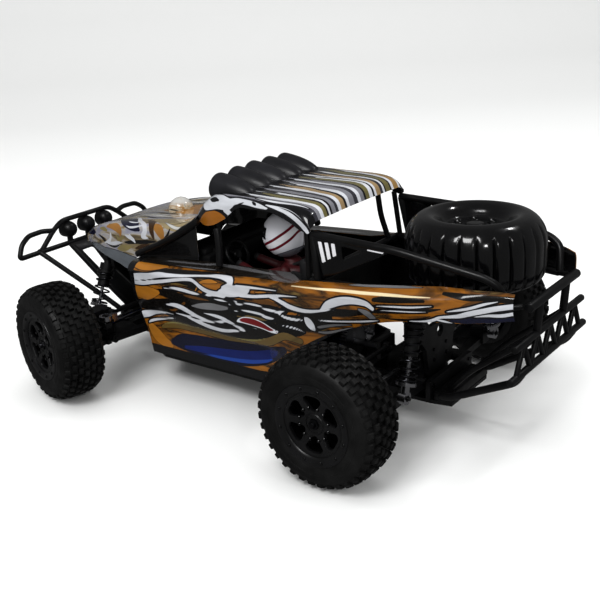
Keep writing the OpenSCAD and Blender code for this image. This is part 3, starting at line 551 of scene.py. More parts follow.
SIDE_LAYERS = {
    "dark": [
        [(240, 78, 5), (226, 80, 6), (212, 83, 6.5), (198, 86, 6.5), (180, 90, 6), (160, 92, 6),
         (136, 93, 6), (110, 94, 6), (84, 95, 6), (60, 97, 6), (40, 99, 6), (24, 103, 2)],
        [(218, 96, 0.5), (206, 97, 3), (190, 98, 4), (168, 98, 4), (144, 99, 4), (120, 102, 4),
         (96, 105, 4), (76, 107, 3.6), (58, 108, 3), (40, 106, 4), (26, 106, 2.5)],
        [(226, 104, 0.4), (206, 108, 1.2), (186, 109.5, 2.4), (170, 109.6, 3), (160, 107.8, 2.4)],
        [(206, 76, 0.5), (190, 79, 4), (160, 80, 6), (130, 81, 6), (105, 84, 5.4), (80, 89, 5), (60, 90, 5),
         (50, 90, 1)],
        [(222, 67, 1), (205, 70, 3), (180, 72.4, 3.4), (150, 72.4, 3.4), (120, 73, 3.4), (95, 78, 3),
         (75, 84, 2)],
        [(250, 109.4, 1), (225, 110.6, 1.2), (200, 116.4, 1.4), (176, 119, 1.6), (150, 122, 1.6),
         (128, 125.4, 1.6), (104, 128.6, 1.2), (80, 130, 0.6)],
        [(36, 108.6, 2.2), (24, 111.4, 3.2), (10, 113.4, 2.8), (-4, 116.4, 1.8)],
        [(-10, 117.6, 1.2), (-20, 119.6, 2), (-34, 121.4, 2), (-50, 123.6, 1.6), (-62, 126, 0.4)],
        [(-12, 127, 1.6), (-24, 128.8, 2.6), (-36, 130.4, 2.6), (-50, 130.6, 1)],
        [(-62, 136.6, 1), (-76, 136, 2), (-92, 135, 2.2), (-107, 134, 2)],
        [(-20, 113.4, 0.4), (-34, 114, 1), (-46, 116.4, 0.8), (-54, 119.6, 0.3)]],
    "ochre": [
        [(240, 115.6, 3), (230, 117, 4.6), (218, 119.6, 5.6), (208, 120.4, 4), (198, 120, 1)],
        [(240, 91, 6), (229, 92, 7), (218, 94, 5), (208, 96.4, 2)],
        [(230, 57, 4.6), (225, 50, 7), (219, 46, 6), (210, 43, 3)],
        [(163, 104.4, 0.3), (156, 113.6, 1), (146, 116.4, 1.6), (137, 117, 0.6)],
        [(97, 115.6, 0.3), (91, 116.4, 0.8), (85, 117.4, 0.2)]],
    "brown": [
        [(108, 106.6, 0.4), (96, 107.8, 1.6), (84, 109.4, 2), (72, 107.4, 0.8)],
        [(184, 101, 0.3), (172, 99.6, 1.2), (160, 99.4, 1.2), (148, 99.8, 0.3)],
        [(205, 80.6, 0.3), (190, 83.4, 1.2), (176, 92.6, 1.2)],
        [(-66, 121.6, 0.4), (-74, 126, 1.6), (-82, 131.6, 1.6), (-92, 133, 0.6)],
        [(118, 117, 0.2), (140, 110.6, 0.2)]],
    "khaki": [
        [(216, 60, 1.6), (209, 62.6, 2.4), (194, 65, 2.8), (164, 65.4, 2.8), (132, 65.2, 3),
         (106, 68.4, 3.2), (86, 75.4, 3.4), (70, 83.6, 3), (56, 81.6, 2.6)],
        [(204, 104.6, 0.2), (192, 107.4, 0.9), (180, 108.6, 0.9), (170, 108.6, 0.2)],
        [(120, 91, 0.3), (106, 93.4, 1.1), (92, 93.6, 1.2), (78, 93, 0.3)]],
    "olive": [
        [(214, 63.6, 0.3), (196, 67.8, 0.9), (164, 68.4, 1), (130, 68.2, 1), (104, 72, 0.9), (88, 78, 0.3)]],
    "navy": [
        [(207, 46, 2), (190, 48, 7), (160, 50, 10), (130, 51.5, 11), (104, 56.5, 9), (86, 64, 6),
         (74, 70, 3)],
        [(207, 48, 1), (194, 53, 3.8), (172, 55.6, 4), (150, 56.6, 4), (126, 57.4, 4), (104, 60.4, 3.6),
         (86, 67, 3), (74, 72, 1)],
        [(-68, 117.4, 0.8), (-78, 118.4, 2.2), (-90, 119.6, 2.6), (-107, 118.8, 2.6)]],
    "blue": [
        [(192, 44.6, 1.6), (170, 46.6, 3.4), (145, 48.4, 4.6), (118, 51.6, 5), (98, 57.4, 4.4), (84, 65, 2)]],
    "sky": [
        [(176, 42.6, 0.4), (150, 43.4, 1.4), (122, 46, 1.8), (102, 50.6, 1.4), (92, 55, 0.3)]],
    "sill": [
        [(240, 34.6, 5.5), (160, 34.6, 6), (98, 35.6, 6), (80, 50, 4), (62, 67, 3), (45, 81, 2.2),
         (22, 94.6, 1.2)]],
    "grey": [
        [(168, 91.4, 0.5), (158, 93, 2.4), (146, 94.8, 3), (134, 95.8, 2.2), (124, 97.4, 0.4)],
        [(37, 97, 1), (30, 99.2, 1.2), (20, 101.6, 0.9), (8, 103.6, 0.2)],
        [(38, 92.6, 0.7), (30, 93.4, 1), (20, 96.8, 0.8), (8, 101.4, 0.2)],
        [(0, 118, 0.8), (-6, 116, 2.2), (-10, 112.6, 2.4), (-9, 110.6, 1)],
        [(216, 130.4, 0.6), (201, 133.4, 1.8), (184, 135.2, 2), (160, 137.4, 1.2)],
        [(194, 125.6, 0.4), (176, 126.4, 1.3), (156, 128.4, 1.3), (140, 130.6, 0.3)],
        [(168, 139, 0.6), (150, 141, 2.6), (126, 141, 3.4), (104, 140, 2.4), (88, 140, 0.5)],
        [(14, 136, 0.6), (2, 138, 2.2), (-14, 139.4, 2.4), (-30, 140.6, 2), (-44, 141.6, 0.4)]],
    # a pale painted highlight: a line of light along the rounded crease of the fin, drawn in as paint
    "painted_highlight": [
        [(64, 124.6, 0.2), (40, 126.4, 0.5), (18, 128.4, 0.8), (-6, 130.2, 0.9), (-30, 132, 0.8),
         (-54, 133.4, 0.2)]],
    "red": [
        [(118, 87.4, 0.4), (110, 89.4, 2.2), (101, 89.6, 2.8), (92, 88.4, 2.4), (83, 86, 1.4),
         (76, 85.4, 0.3)]],
    "white": [
        [(241, 104.4, 3), (231, 106.6, 3), (219, 109, 2.7), (206, 112.4, 2.3), (193, 114.2, 1.5),
         (178, 116, 1), (164, 118, 0.7), (150, 119.8, 0.7), (141, 120.8, 1.1), (133, 121.4, 1.7),
         (125.6, 120.6, 2.2), (122.6, 118.2, 2.4), (125, 115.8, 2.4), (131, 113.8, 1.2)],
        [(241, 99.2, 1.6), (229, 100.8, 1.8), (214, 104.6, 1.6), (200, 108, 1.5), (186, 111.4, 1.4),
         (174, 113.8, 1.3), (166, 114.6, 1.4), (160.6, 112.8, 1.6), (156.4, 110.2, 1.8), (149, 107.8, 1.8),
         (140, 107, 2.1), (131, 107.6, 2.8)],
        [(134, 109, 2.4), (124, 111.4, 4.4), (115, 113.6, 4.6), (108, 114.8, 3.6), (104, 116.4, 1.8)],
        [(116, 117, 1.4), (104, 118.3, 1), (92, 119.2, 0.6), (76, 120, 0.2)],
        [(112, 110.8, 1.8), (100, 111.6, 1.3), (91, 113.2, 1.3), (81, 115.2, 1.2), (70, 117, 0.8),
         (56, 118.4, 0.2)],
        [(84, 114.4, 0.6), (76, 113.2, 1.4), (69.4, 111.2, 1.8), (63, 109.2, 1.9), (53, 108.2, 1.6),
         (44, 108.8, 1.3), (33, 111.2, 0.8), (22, 113.8, 0.2)],
        [(201, 101.6, 0.2), (191, 103.4, 0.9), (181, 104, 1.4), (170, 103.6, 1.4), (160, 103, 1),
         (153, 102.2, 0.3)],
        [(153, 104.6, 0.3), (143, 103, 0.8), (134, 102.4, 0.8), (125, 103.2, 0.6), (116, 104.8, 0.2)],
        [(241, 67.4, 3), (232, 70, 3), (222, 73.4, 2), (212, 76, 1.3), (203, 77.6, 0.9), (194, 78, 0.3)],
        [(233, 61.2, 0.4), (229, 63.6, 1.2), (221, 66.4, 1.1), (212, 68.6, 0.9), (201, 72.4, 0.8),
         (192, 74.4, 0.2)],
        [(202, 86, 0.2), (192, 88, 1.6), (182, 87.6, 2.4), (172, 84.6, 2.2), (162, 81.6, 1.7),
         (150, 80.4, 1.3), (138, 81.8, 0.8), (128, 84.2, 0.2)],
        [(190, 80.2, 0.2), (178, 79.6, 1.2), (166, 76.8, 1.8), (152, 74.4, 2), (137, 74.2, 1.7),
         (122, 77.2, 1.2), (108, 80.2, 0.2)],
        [(156, 87.2, 0.2), (145, 87.2, 1.3), (133, 85.8, 1.8), (121, 82.6, 1.3), (110, 82.8, 0.8),
         (98, 84, 0.2)],
        [(126, 100, 0.2), (116, 102, 0.8), (106, 104.3, 0.9), (95, 104.6, 1), (86, 103.2, 1.1),
         (76, 102.8, 1.2), (66, 104.8, 0.3)],
        [(124, 94.6, 0.2), (112, 97.4, 0.7), (103, 98.2, 0.9), (94, 98, 1.1), (86, 96.4, 1.3),
         (77, 96.2, 0.3)],
        [(76, 102, 0.3), (69, 99.8, 1.1), (60, 99.4, 1.2), (52, 100.4, 0.8)],
        [(74, 92, 0.2), (66, 92.4, 0.9), (57, 92, 0.9), (50, 90.6, 0.2)],
        [(49, 103, 0.6), (46, 99.8, 3.2), (43, 96.6, 2.8), (40.8, 93.2, 0.4)],
        [(34, 111.8, 0.5), (27, 117, 3), (17, 121.4, 3.1), (6, 123.6, 2.5), (-5, 123.4, 2.1),
         (-11, 120, 1.4)],
        [(36, 103, 0.5), (22, 104.6, 0.7), (8, 106.6, 0.7), (-6, 109, 0.7), (-14, 110.6, 0.2)],
        [(-14, 122.6, 0.2), (-26, 123.8, 0.6), (-42, 125.4, 0.7), (-56, 127.6, 0.2)],
        [(-16, 119.6, 0.1), (-28, 120.8, 0.4), (-42, 122, 0.4), (-52, 123, 0.1)],
        [(-38, 113.8, 0.2), (-48, 114.6, 0.8), (-55, 116.4, 1.1), (-60, 119.2, 1), (-67, 120.6, 1.2),
         (-74, 122, 1.6), (-81, 124.4, 1.9), (-89, 126.4, 1.9), (-97, 128.2, 1.9), (-107, 129.6, 1.9)],
        [(-57, 117.4, 0.6), (-63, 116.4, 0.8), (-69, 115.4, 0.2)],
        [(-66, 124.6, 0.2), (-74, 126.6, 0.8), (-82, 128.6, 1), (-90, 131.4, 0.9), (-98, 133.2, 0.2)],
        [(-84, 122, 0.2), (-92, 123, 1), (-100, 122.8, 1.4), (-107, 124.2, 1.3)]],
}


def side_panels():
    xs = np.concatenate([np.linspace(-107, 60, 18), np.linspace(66, 96, 7), np.linspace(108, 250, 14)])
    grid = smooth_grid([panel_section(x) for x in xs], 290, PANEL_COLUMNS)
    turned = np.arange(PANEL_COLUMNS) > LEDGE_COLUMN
    inward = np.maximum(grid[:, [LEDGE_COLUMN], 1] - grid[..., 1], 0) * turned
    u, v = grid[..., 0], grid[..., 2] + inward
    ledge = 4 - inward + np.maximum(70 - u, 0)

    def base(n):
        wave = n.noise(1.0, 4, n.mapped((20, 1, 95)), 1.8)
        return n.ramp(wave, [(0.0, ORANGE), (0.46, OCHRE), (0.56, BROWN), (0.63, srgb(44, 30, 16)),
                             (0.72, KHAKI)])
    material = painted("side_livery", base, [
        ("dark", srgb(17, 15, 13), 0, BLACK), ("ochre", ORANGE, 0.5, BLACK), ("brown", BROWN, 0, BLACK),
        ("khaki", KHAKI, 0.5, BLACK), ("olive", srgb(120, 112, 66), 0, BLACK), ("navy", NAVY, 0.4, BLACK),
        ("blue", BLUE, 0, NAVY), ("sky", srgb(26, 62, 142), 0, BLACK), ("sill", BLACK, 0, BLACK),
        ("ledge", srgb(34, 30, 26), 0.8, BLACK), ("grey", srgb(104, 104, 106), 0.6, BLACK),
        # the pale stroke along the fin's crease is a painted highlight
        ("painted_highlight", srgb(222, 206, 168), 0, BLACK), ("red", srgb(104, 12, 20), 0.8, WHITE),
        ("white", WHITE, 1.3, BLACK), ("front", BLACK, 0, BLACK)])
    for side, label in ((1, "left"), (-1, "right")):
        placed = grid * [1, side, 1]
        order = slice(None, None, -side)
        skin("side_panel_" + label, placed[:, order], material, "painted_shell", ["side_panels"], SIDE_LAYERS,
             u[:, order], v[:, order], {"ledge": ledge[:, order], "front": PAINT_END - u[:, order]})


# ---------------------------------------------------------------- nose and roof

# Each row: x, half width of the crown, crown height, middle height, half width, lower edge, skirt edge
NOSE = [(358, 20, 119, 119.5, 27, 112, 108), (350, 24, 123, 123, 31, 113, 110),
        (330, 33, 130.5, 130, 41, 115, 108), (305, 40, 138, 136, 50, 117, 106),
        (285, 44, 142, 140.5, 55, 117, 104), (266, 46, 145, 144, 60, 117, 102),
        (252, 48, 146, 146, 61, 118, 116), (228, 50, 148, 148.5, 60, 127, 119.2),
        (205, 50, 151, 152, 60, 140, 121), (190, 50, 156, 160.5, 60, 149, 122),
        (179, 50, 164, 169, 59.5, 156, 122.8)]
# Each row: x, middle height, edge height, half width, skirt's lower height
ROOF = [(176, 172, 169, 58, 158), (166, 180, 176, 62, 156), (155, 184, 181, 65, 158),
        (142, 186, 183, 66, 164), (120, 185.5, 182.5, 67, 177), (95, 185, 182, 68, 177),
        (74, 184.5, 181.5, 69, 172), (62, 183.5, 180, 69, 166), (55, 180, 176.5, 69, 164),
        (52, 173, 171, 69, 166)]


def mirrored(half):
    return [(x, -y, z) for x, y, z in half[:0:-1]] + half


def nose_row(x, crown, crown_z, mid_z, wide, low, skirt):
    return mirrored([(x, 0, mid_z), (x, 0.5 * crown, lerp(mid_z, crown_z, 0.35)), (x, crown, crown_z),
                     (x, lerp(crown, wide, 0.7), crown_z - 2.5), (x, wide - 1, lerp(crown_z, low, 0.45)),
                     (x, wide, low), (x, wide, skirt)])


def roof_row(x, mid, edge, wide, low):
    return mirrored([(x, 0, mid), (x, 0.5 * wide, mid - 0.5), (x, wide - 9, edge + 1),
                     (x, wide - 3, edge - 2), (x, wide, lerp(edge, low, 0.55)), (x, wide, low)])


NOSE_LAYERS = {
    "beige": [
        [(244, 43, 2), (230, 45, 7), (212, 51, 10), (196, 55, 9), (179, 55, 8)],
        [(300, 36, 1), (280, 34, 3), (262, 36, 3)]],
    "ochre": [
        [(268, 4, 3), (250, 6, 8), (228, 9, 11), (205, 11, 12), (179, 12, 13)],
        [(233, 54.4, 1), (228, 58.6, 3.8), (223, 63, 4.4), (220, 67.6, 2.6)],
        [(303, 50, 1), (292, 52.6, 3.2), (283, 57, 3.6), (277, 62, 2.4), (278, 66, 0.6)]],
    "olive": [
        [(284, 75.6, 0.8), (276, 76.8, 3), (267, 78.2, 2.8), (259, 77, 0.6)],
        [(318, 46, 0.6), (310, 50, 1.8), (303, 54, 1)],
        [(286, 62, 0.4), (280, 68, 1.6), (272, 68, 1.4)]],
    "brown": [
        [(250, 45, 0.8), (241, 50.6, 3.2), (235.6, 57, 3), (233.6, 63, 2.6), (231, 69, 1.2)],
        [(254, 79, 0.8), (246, 77.4, 2.4), (237, 76.8, 2.4), (229, 78.6, 0.6)]],
    "lines": [
        [(304, 5, 0.3), (275, 12, 1.3), (256, 18, 1.8), (231, 24, 1.7), (205, 27, 0.4)],
        [(284, 27, 0.4), (272, 30.6, 1.4), (250, 36.6, 1.9), (236, 34.6, 1.4), (217, 38.4, 1.6),
         (198, 41, 0.4)],
        [(216, 17, 0.3), (200, 18, 1), (184, 17, 0.6)],
        [(322, 50, 0.4), (312, 58, 1.1), (303, 66, 0.9), (290, 72.6, 1.1), (276, 73.2, 0.4)],
        [(270, 72.6, 0.6), (262, 73.4, 1.6), (252, 73, 1.8), (240, 72.4, 1.8), (228, 71.6, 0.6)],
        [(218, 68.6, 0.3), (213, 65, 1.4), (211, 60, 0.5)],
        [(226, 42, 0.2), (212, 44.6, 0.6), (196, 46, 0.2)],
        [(218, 55, 0.2), (204, 54.6, 0.5), (188, 52, 0.2)]],
    "white": [
        [(256, 84.2, 0.6), (246, 83.2, 0.8), (237, 81.8, 0.9), (226, 78.6, 0.6), (214, 74.6, 0.2)],
        [(306, 20, 0.3), (284, 21, 1.6), (262, 26, 1.8), (244, 29.6, 1.4), (226, 31, 0.3)],
        [(298, 12, 0.2), (276, 17, 1), (256, 23, 0.8), (238, 26, 0.2)],
        [(226, 50, 0.2), (212, 57, 1.2), (200, 61, 1.2), (188, 61, 0.3)]],
    "navy": [
        [(354, 27, 0.8), (350, 30, 2.4), (342, 36, 2.8), (334, 42, 2.2), (329, 45, 0.5)],
        [(293, 38, 1), (285, 42, 4), (275, 47.4, 6.6), (265, 53.4, 7), (256, 59, 4.4), (249, 62.4, 1)]],
    # painted highlights: white glints where light catches the glossy navy fender, drawn in as paint
    "painted_glint": [
        [(280, 32, 0.5), (271, 37.6, 1.3), (263, 44, 1.7), (257.6, 49, 2), (250, 53.4, 1.9), (244, 58, 2.2),
         (242, 63, 2.6), (244, 67.4, 2.4), (237, 69.4, 0.4)],
        [(272, 50, 0.2), (266, 52.4, 0.9), (259, 53.4, 1), (254, 51.6, 0.8)],
        [(269, 57.4, 0.2), (262, 59.6, 0.9), (255, 59.4, 1), (247, 57.6, 0.6)],
        [(297, 57, 0.3), (295.4, 61, 1.3), (298, 65, 2.1), (308, 64, 0.3)],
        [(301, 66.4, 1), (292, 69.2, 1.6), (283, 70.4, 1.4), (273, 72.8, 0.4)],
        [(269, 66, 0.3), (263, 68.4, 1.4), (257, 70.8, 1.6), (253.6, 74.6, 0.4)],
        [(263, 65, 0.3), (259, 69, 1.1)]],
}

ROOF_LAYERS = {
    "white": [
        [(172, 44, 2), (166, 54, 5), (158, 64, 7), (147, 67, 6.4), (136, 69, 5), (128, 66, 3.6),
         (116, 66, 3), (104, 68, 2.6), (94, 70, 1)],
        [(138, 74, 2.4), (132, 78, 2.2), (129, 82, 1)],
        [(98, 65.4, 0.4), (88, 67, 1.6), (76, 69.6, 2.6), (66, 73, 3.2), (58, 76.4, 3), (52, 78.6, 2)],
        [(112, 59, 0.3), (98, 60.4, 1.2), (84, 60.8, 1.4), (70, 60.4, 1), (60, 60, 0.3)]],
    "black": [
        [(158, 62.4, 0.6), (153, 64.4, 2.3), (147, 66.4, 0.8)],
        [(126, 72.6, 0.6), (122, 69, 1.6), (120, 66, 0.6)],
        [(113, 63.6, 0.3), (109, 66, 1.3), (106, 68.4, 0.3)],
        [(90, 69, 0.2), (76, 72.2, 0.6), (64, 77.2, 0.8), (56, 81.4, 0.6)],
        [(84, 66.4, 0.2), (70, 69.4, 0.6), (58, 73.6, 0.7), (52, 75.4, 0.4)]],
    "orange": [
        [(186, 74, 6), (172, 76, 7), (158, 79, 6.6), (146, 82, 5.4), (138, 85, 3)]],
}


def nose():
    grid = smooth_grid([nose_row(*r) for r in NOSE], 170, 132)[:, ::-1]
    v = np.abs(across(grid))
    # below the diagonal cowl tube the hood's side is black, and its skirt ahead of the doors is plain grey
    tube = np.interp(grid[..., 0], [179, 200, 220, 240, 253, 254], [52, 62, 69, 76, 82, 200])
    skirt = np.interp(grid[..., 0], [253, 254, 263, 284, 308, 329, 345, 358],
                      [200, 88, 85.6, 78, 69, 55, 46, 38])
    material = painted("nose_livery", lambda n: n.ramp(n.noise(1.0, 4, n.mapped((11, 80, 80)), 1.4), [
        (0.0, srgb(84, 84, 92)), (0.42, srgb(128, 128, 140)), (0.52, srgb(150, 146, 140)),
        (0.6, srgb(112, 98, 72)), (0.7, srgb(44, 40, 34))], constant=False), [
        ("beige", srgb(142, 128, 96), 0, BLACK), ("ochre", srgb(146, 102, 46), 0, BROWN),
        ("olive", srgb(124, 112, 70), 0, BLACK), ("brown", srgb(58, 38, 18), 0, BLACK),
        ("lines", BLACK, 0, BLACK), ("white", srgb(176, 176, 172), 0.3, srgb(60, 60, 70)),
        # the white strokes over the navy fender are painted highlights
        ("navy", srgb(15, 17, 42), 0, BLACK), ("painted_glint", WHITE, 0, WHITE),
        ("skirt", srgb(92, 97, 103), 0.7, BLACK), ("tube", srgb(12, 12, 13), 0, BLACK)])
    skin("nose", grid, material, "painted_shell", ["nose_shell"], NOSE_LAYERS, grid[..., 0], v,
         {"tube": tube - v, "skirt": skirt - v})
    front = plate([(-26, 109), (26, 109), (26, 112.6), (19, 118), (-19, 118), (-26, 112.6)], [],
                  lambda y, z, w: (356.4 + w, y, z), 1.6, 0.4)
    piece("nose_front", front, "chassis", plain("nose_lavender", LAVENDER, (0.16, 0.26), coat=0.9, bump=0.04),
          "painted_shell", ["nose_shell"])
    foot = 145.6
    dome = lathe([(11.9, -1), (11.7, 2.4), (10.6, 5.6), (8.4, 8.4), (5.2, 10.6), (2, 11.7), (0.01, 11.9)],
                 (252, 0, foot), (0, 0, 1), 48)
    rise = dome[0][:, 2] - foot

    def bubble_base(n):
        low = n.ramp(n.noise(1.0, 4, n.mapped((12, 90, 160)), 1.4), [
            (0.0, srgb(84, 60, 28)), (0.42, srgb(150, 112, 60)), (0.52, srgb(186, 176, 156)),
            (0.64, srgb(40, 32, 22))])
        # the pale top is a painted highlight, the light caught by the dome, over the tan livery of its foot
        high = n.ramp(n.noise(1.0, 3, n.mapped((30, 110, 110)), 1.0), [
            (0.0, srgb(96, 92, 84)), (0.36, srgb(172, 171, 168)), (0.58, srgb(174, 172, 168)),
            (0.68, srgb(150, 124, 88))])
        return n.mix(n.remap(n.field("rise"), 4.5, 8.5), low, high)
    piece("nose_bubble", dome, "chassis", painted("bubble_livery_and_highlight", bubble_base, []), "painted_shell",
          ["nose_shell"], fields={"rise": rise})


def roof():
    grid = smooth_grid([roof_row(*r) for r in ROOF], 130, 140)[:, ::-1]
    arc = across(grid)
    grey, dark = srgb(112, 112, 118), srgb(44, 44, 50)
    olive, gold, tan = srgb(96, 90, 54), srgb(134, 106, 62), srgb(138, 116, 84)
    bands = [dark, grey, WHITE, olive, BLACK, WHITE, BLACK, grey, dark, WHITE, tan, BLACK, WHITE, grey, dark,
             WHITE, grey, BLACK, olive, WHITE, BLACK, WHITE, tan, dark, WHITE, BLACK, olive, BLACK, WHITE,
             gold, WHITE, BLACK]
    thick = {WHITE: 1.8, BLACK: 1.2, dark: 1.9, grey: 2.4, olive: 2.8, tan: 2.8, gold: 3.4}
    widths = np.array([thick[c] for c in bands])
    starts = np.concatenate([[0], np.cumsum(widths)[:-1]]) / widths.sum()
    # behind the lamps the stripes break up into pointed flames on black
    tongues = np.full(grid.shape[:2], FAR)
    for k in range(-6, 7):
        middle_y = 9.2 * k
        tongue = [(92, middle_y - 1, 4.6), (106, middle_y, 3.2), (118, middle_y + 1.6, 1.5),
                  (130, middle_y + 3, 0.2)]
        tongues = np.minimum(tongues, stroke(tongue, grid[..., 0], arc))
    ground = np.where(grid[..., 0] > 98, -1.0, 98 - grid[..., 0]) + np.maximum(np.abs(arc) - 58, 0)
    ground = np.maximum(ground, -tongues)

    def base(n):
        wide = n.math("MULTIPLY", n.math("SUBTRACT", n.noise(1.0, 2, n.mapped((11, 20, 1))), 0.5), 20.0)
        fine = n.math("MULTIPLY", n.math("SUBTRACT", n.noise(1.0, 3, n.mapped((46, 160, 1))), 0.5), 4.0)
        place = n.math("ADD", n.math("ADD", n.field("arc"), wide), fine)
        return n.ramp(n.remap(place, -64, 64), list(zip(starts, bands)), constant=True)
    material = painted("roof_livery", base, [
        ("ground", BLACK, 0, BLACK), ("edge", BLACK, 0, BLACK), ("orange", srgb(142, 88, 22), 0.6, BLACK),
        ("white", WHITE, 1.1, BLACK), ("black", BLACK, 0, BLACK)])
    skin("roof", grid, material, "painted_roof", ["roof_shell"], ROOF_LAYERS, grid[..., 0], np.abs(arc),
         {"arc": arc, "ground": ground, "edge": 62.5 - np.abs(arc)})


def roof_height(x, y):
    xs = [r[0] for r in ROOF][::-1]
    mid, edge, wide = (np.interp(x, xs, [r[k] for r in ROOF][::-1]) for k in (1, 2, 3))
    share = np.clip(np.abs(y) / np.maximum(wide - 9, 1), 0, 1)
    return mid + (edge + 1 - mid) * share ** 2


LAMPS = [(i * 22, 187.5 - 0.4 * i * i) for i in range(-2, 3)]
LAMP_FACE_X = 165


def light_pod():
    profile = gentle([(0.01, 0), (9.4, 0), (10.9, 0.5), (11.7, 2.6), (11.9, 9), (11.7, 16), (10.9, 24),
                      (9.2, 32), (6, 39), (0.01, 42.6)], 48)
    parts = [lathe(profile, (LAMP_FACE_X, y, z), (-0.9877, 0, -0.1564), 56) for y, z in LAMPS]
    parts.append(block((150, -50, 183), (163.6, 50, 189.6), 2.2))
    verts, faces = join(parts)
    verts[:, 2] = np.maximum(verts[:, 2], roof_height(verts[:, 0], verts[:, 1]) - 0.4)
    piece("roof_light_pod_moulding", (verts, faces), "chassis", POD_BLACK, "black_plastic",
          ["roof_light_pod"], merge=False)
    glass = [(0.01, 0.35), (7.4, 0.3), (8.6, 0)]
    lens = join([lathe(glass, (LAMP_FACE_X + 0.02, y, z), (0.9986, 0, 0.0523), 40) for y, z in LAMPS])
    piece("roof_lamp_faces", lens, "chassis", GLOSS_BLACK, "black_gloss", ["roof_light_pod"], merge=False)


# ---------------------------------------------------------------- roll cage and bumpers

def cage():
    half = [
        pipe([(172, 64, 159), (214, 65, 135), (247, 66, 121)], 3, 14),
        pipe([(150, 65, 156), (147, 67, 140), (146, 70, 125.3)], 3),
        pipe([(52.5, 65, 163), (47, 69, 127)], 3),
        pipe([(59, 64, 167), (56, 68, 127)], 2.2),
        pipe([(68, 52, 168), (66, 53, 148), (60, 55, 127)], 2.4),
        pipe([(54, 65, 163), (-20, 66, 160), (-86, 57, 146.5), (-95, 54, 141), (-98, 46, 123)], 3, 9),
        pipe([(60, 68, 127), (-98, 46, 122)], 2.6),
        pipe([(-98, 44, 122.8), (-106.5, 40, 124.2)], 2.2)]
    whole = [
        pipe([(68, -52, 168), (68, 52, 168)], 2.2), pipe([(60, -66, 126), (60, 66, 126)], 2.8),
        pipe([(-20, -56, 122.5), (-20, 56, 122.5)], 2.4), pipe([(-80, -47, 122.5), (-80, 47, 122.5)], 2.4)]
    piece("cage_tubes", join([both_sides(join(half))] + whole), "chassis", SATIN_BLACK, "black_plastic",
          ["roll_cage"])
    outline = rounded([(51, 163), (-18, 160), (-12, 156), (47, 127)], 2)
    window = rounded([(25, 158), (6, 156), (24, 147)], 1.6)
    side = plate(outline, [window], lambda x, z, w: (x, 65 + w, z), 3, 0.5)
    piece("cage_side_plates", both_sides(side), "chassis", GLOSS_BLACK, "black_gloss", ["roll_cage"])
    pale = plain("pale_print", srgb(206, 206, 210), (0.2, 0.3), coat=0.6, bump=0.03, vary=0.05)
    # three slanted bars and two thin lines, in place of the usual race number
    bars = [rounded([(x, 159), (x - 3.2, 159), (x - 6.4 + k, 144 + 3 * k), (x - 3.2 + k, 142.6 + 3 * k)], 0.6)
            for k, x in enumerate((46, 40, 34))]
    thin = [rounded([(2, z), (-12, z - 0.6), (-11, z - 1.6), (2, z - 1)], 0.3) for z in (160.6, 158.6)]
    prints = [plate(shape, [], lambda a, b, w: (a, 67.95 + w, b), 0.25, 0) for shape in bars + thin]
    piece("cage_plate_stripes", both_sides(join(prints)), "chassis", pale, "black_gloss", ["roll_cage"])


def front_bumper():
    x = 389.5
    lamps = [(x - 1, y, 116) for y in (-24, 0, 24)]
    top, tip, low = (x, 31, 126.4), (x - 1, 88, 102), (x - 5, 66, 103.5)
    half = [
        pipe([(x, 0, 126.4), top, (x, 43, 119), (x - 1.5, 61, 103.5), (x - 3, 66, 103.5)], 2.5, 8),
        pipe([(x, 43, 119), (x + 2.6, 55, 121), (x + 2, 72, 120.5), (x + 1, 82, 114), tip, low], 2.5, 4),
        pipe([low, (x - 50, 35, 58), (x - 72, 22, 36)], 2.5, 14),
        pipe([low, (x - 5, 0, 103.5)], 2.5)]
    angle = math.radians(136)
    ex = np.array([math.cos(angle), 0, -math.sin(angle)])
    ez = np.array([math.sin(angle), 0, math.cos(angle)])
    start = np.array([x - 5, 0, 103.5])
    holes = [rounded([(12, 6 * s), (12, 22 * s), (44, 17 * s), (44, 6 * s)], 3) for s in (1, -1)]
    skid = plate([(1, -31), (1, 31), (55, 24), (88, 18), (88, -18), (55, -24)], holes,
                 lambda u, v, w: start + u * ex + np.array([0, v, 0]) + (w - 1.5) * ez, 3, 0.7)
    ribs = [pipe([start + 3 * ex + [0, s * 27, 0], start + 54 * ex + [0, s * 21, 0],
                  start + 86 * ex + [0, s * 15, 0]], 1.9, 8) for s in (1, -1)]
    parts = [both_sides(join(half)), skid, block((315, -24, 31), (327, 24, 44), 1)] + ribs
    bowl = gentle([(0.01, -8), (4, -7.2), (6.6, -5), (8, -1), (8.2, 1), (8.25, 5.2), (8.25, 6.1), (7.4, 6.4),
                   (6.8, 5.6), (6.6, 4.6), (0.01, 4.4)], 44)
    for lamp in lamps:
        parts.append(pipe([(lamp[0], lamp[1], 102), (lamp[0], lamp[1], 110)], 3))
        parts.append(lathe(bowl, lamp, (1, 0, 0), 44))
    piece("front_bumper_frame", join(parts), "chassis", SATIN_BLACK, "black_plastic", ["front_bumper"])
    glass = [(6.7, 4.7), (5, 5.3), (2.6, 5.7), (0.01, 5.9)]
    lenses = join([lathe(glass, lamp, (1, 0, 0), 40) for lamp in lamps])
    piece("front_lamp_lenses", lenses, "chassis",
          plain("lamp_lens", srgb(170, 172, 178), (0.04, 0.1), metal=0.6, coat=1.0, bump=0.03, vary=0.1),
          "black_gloss", ["front_bumper"])


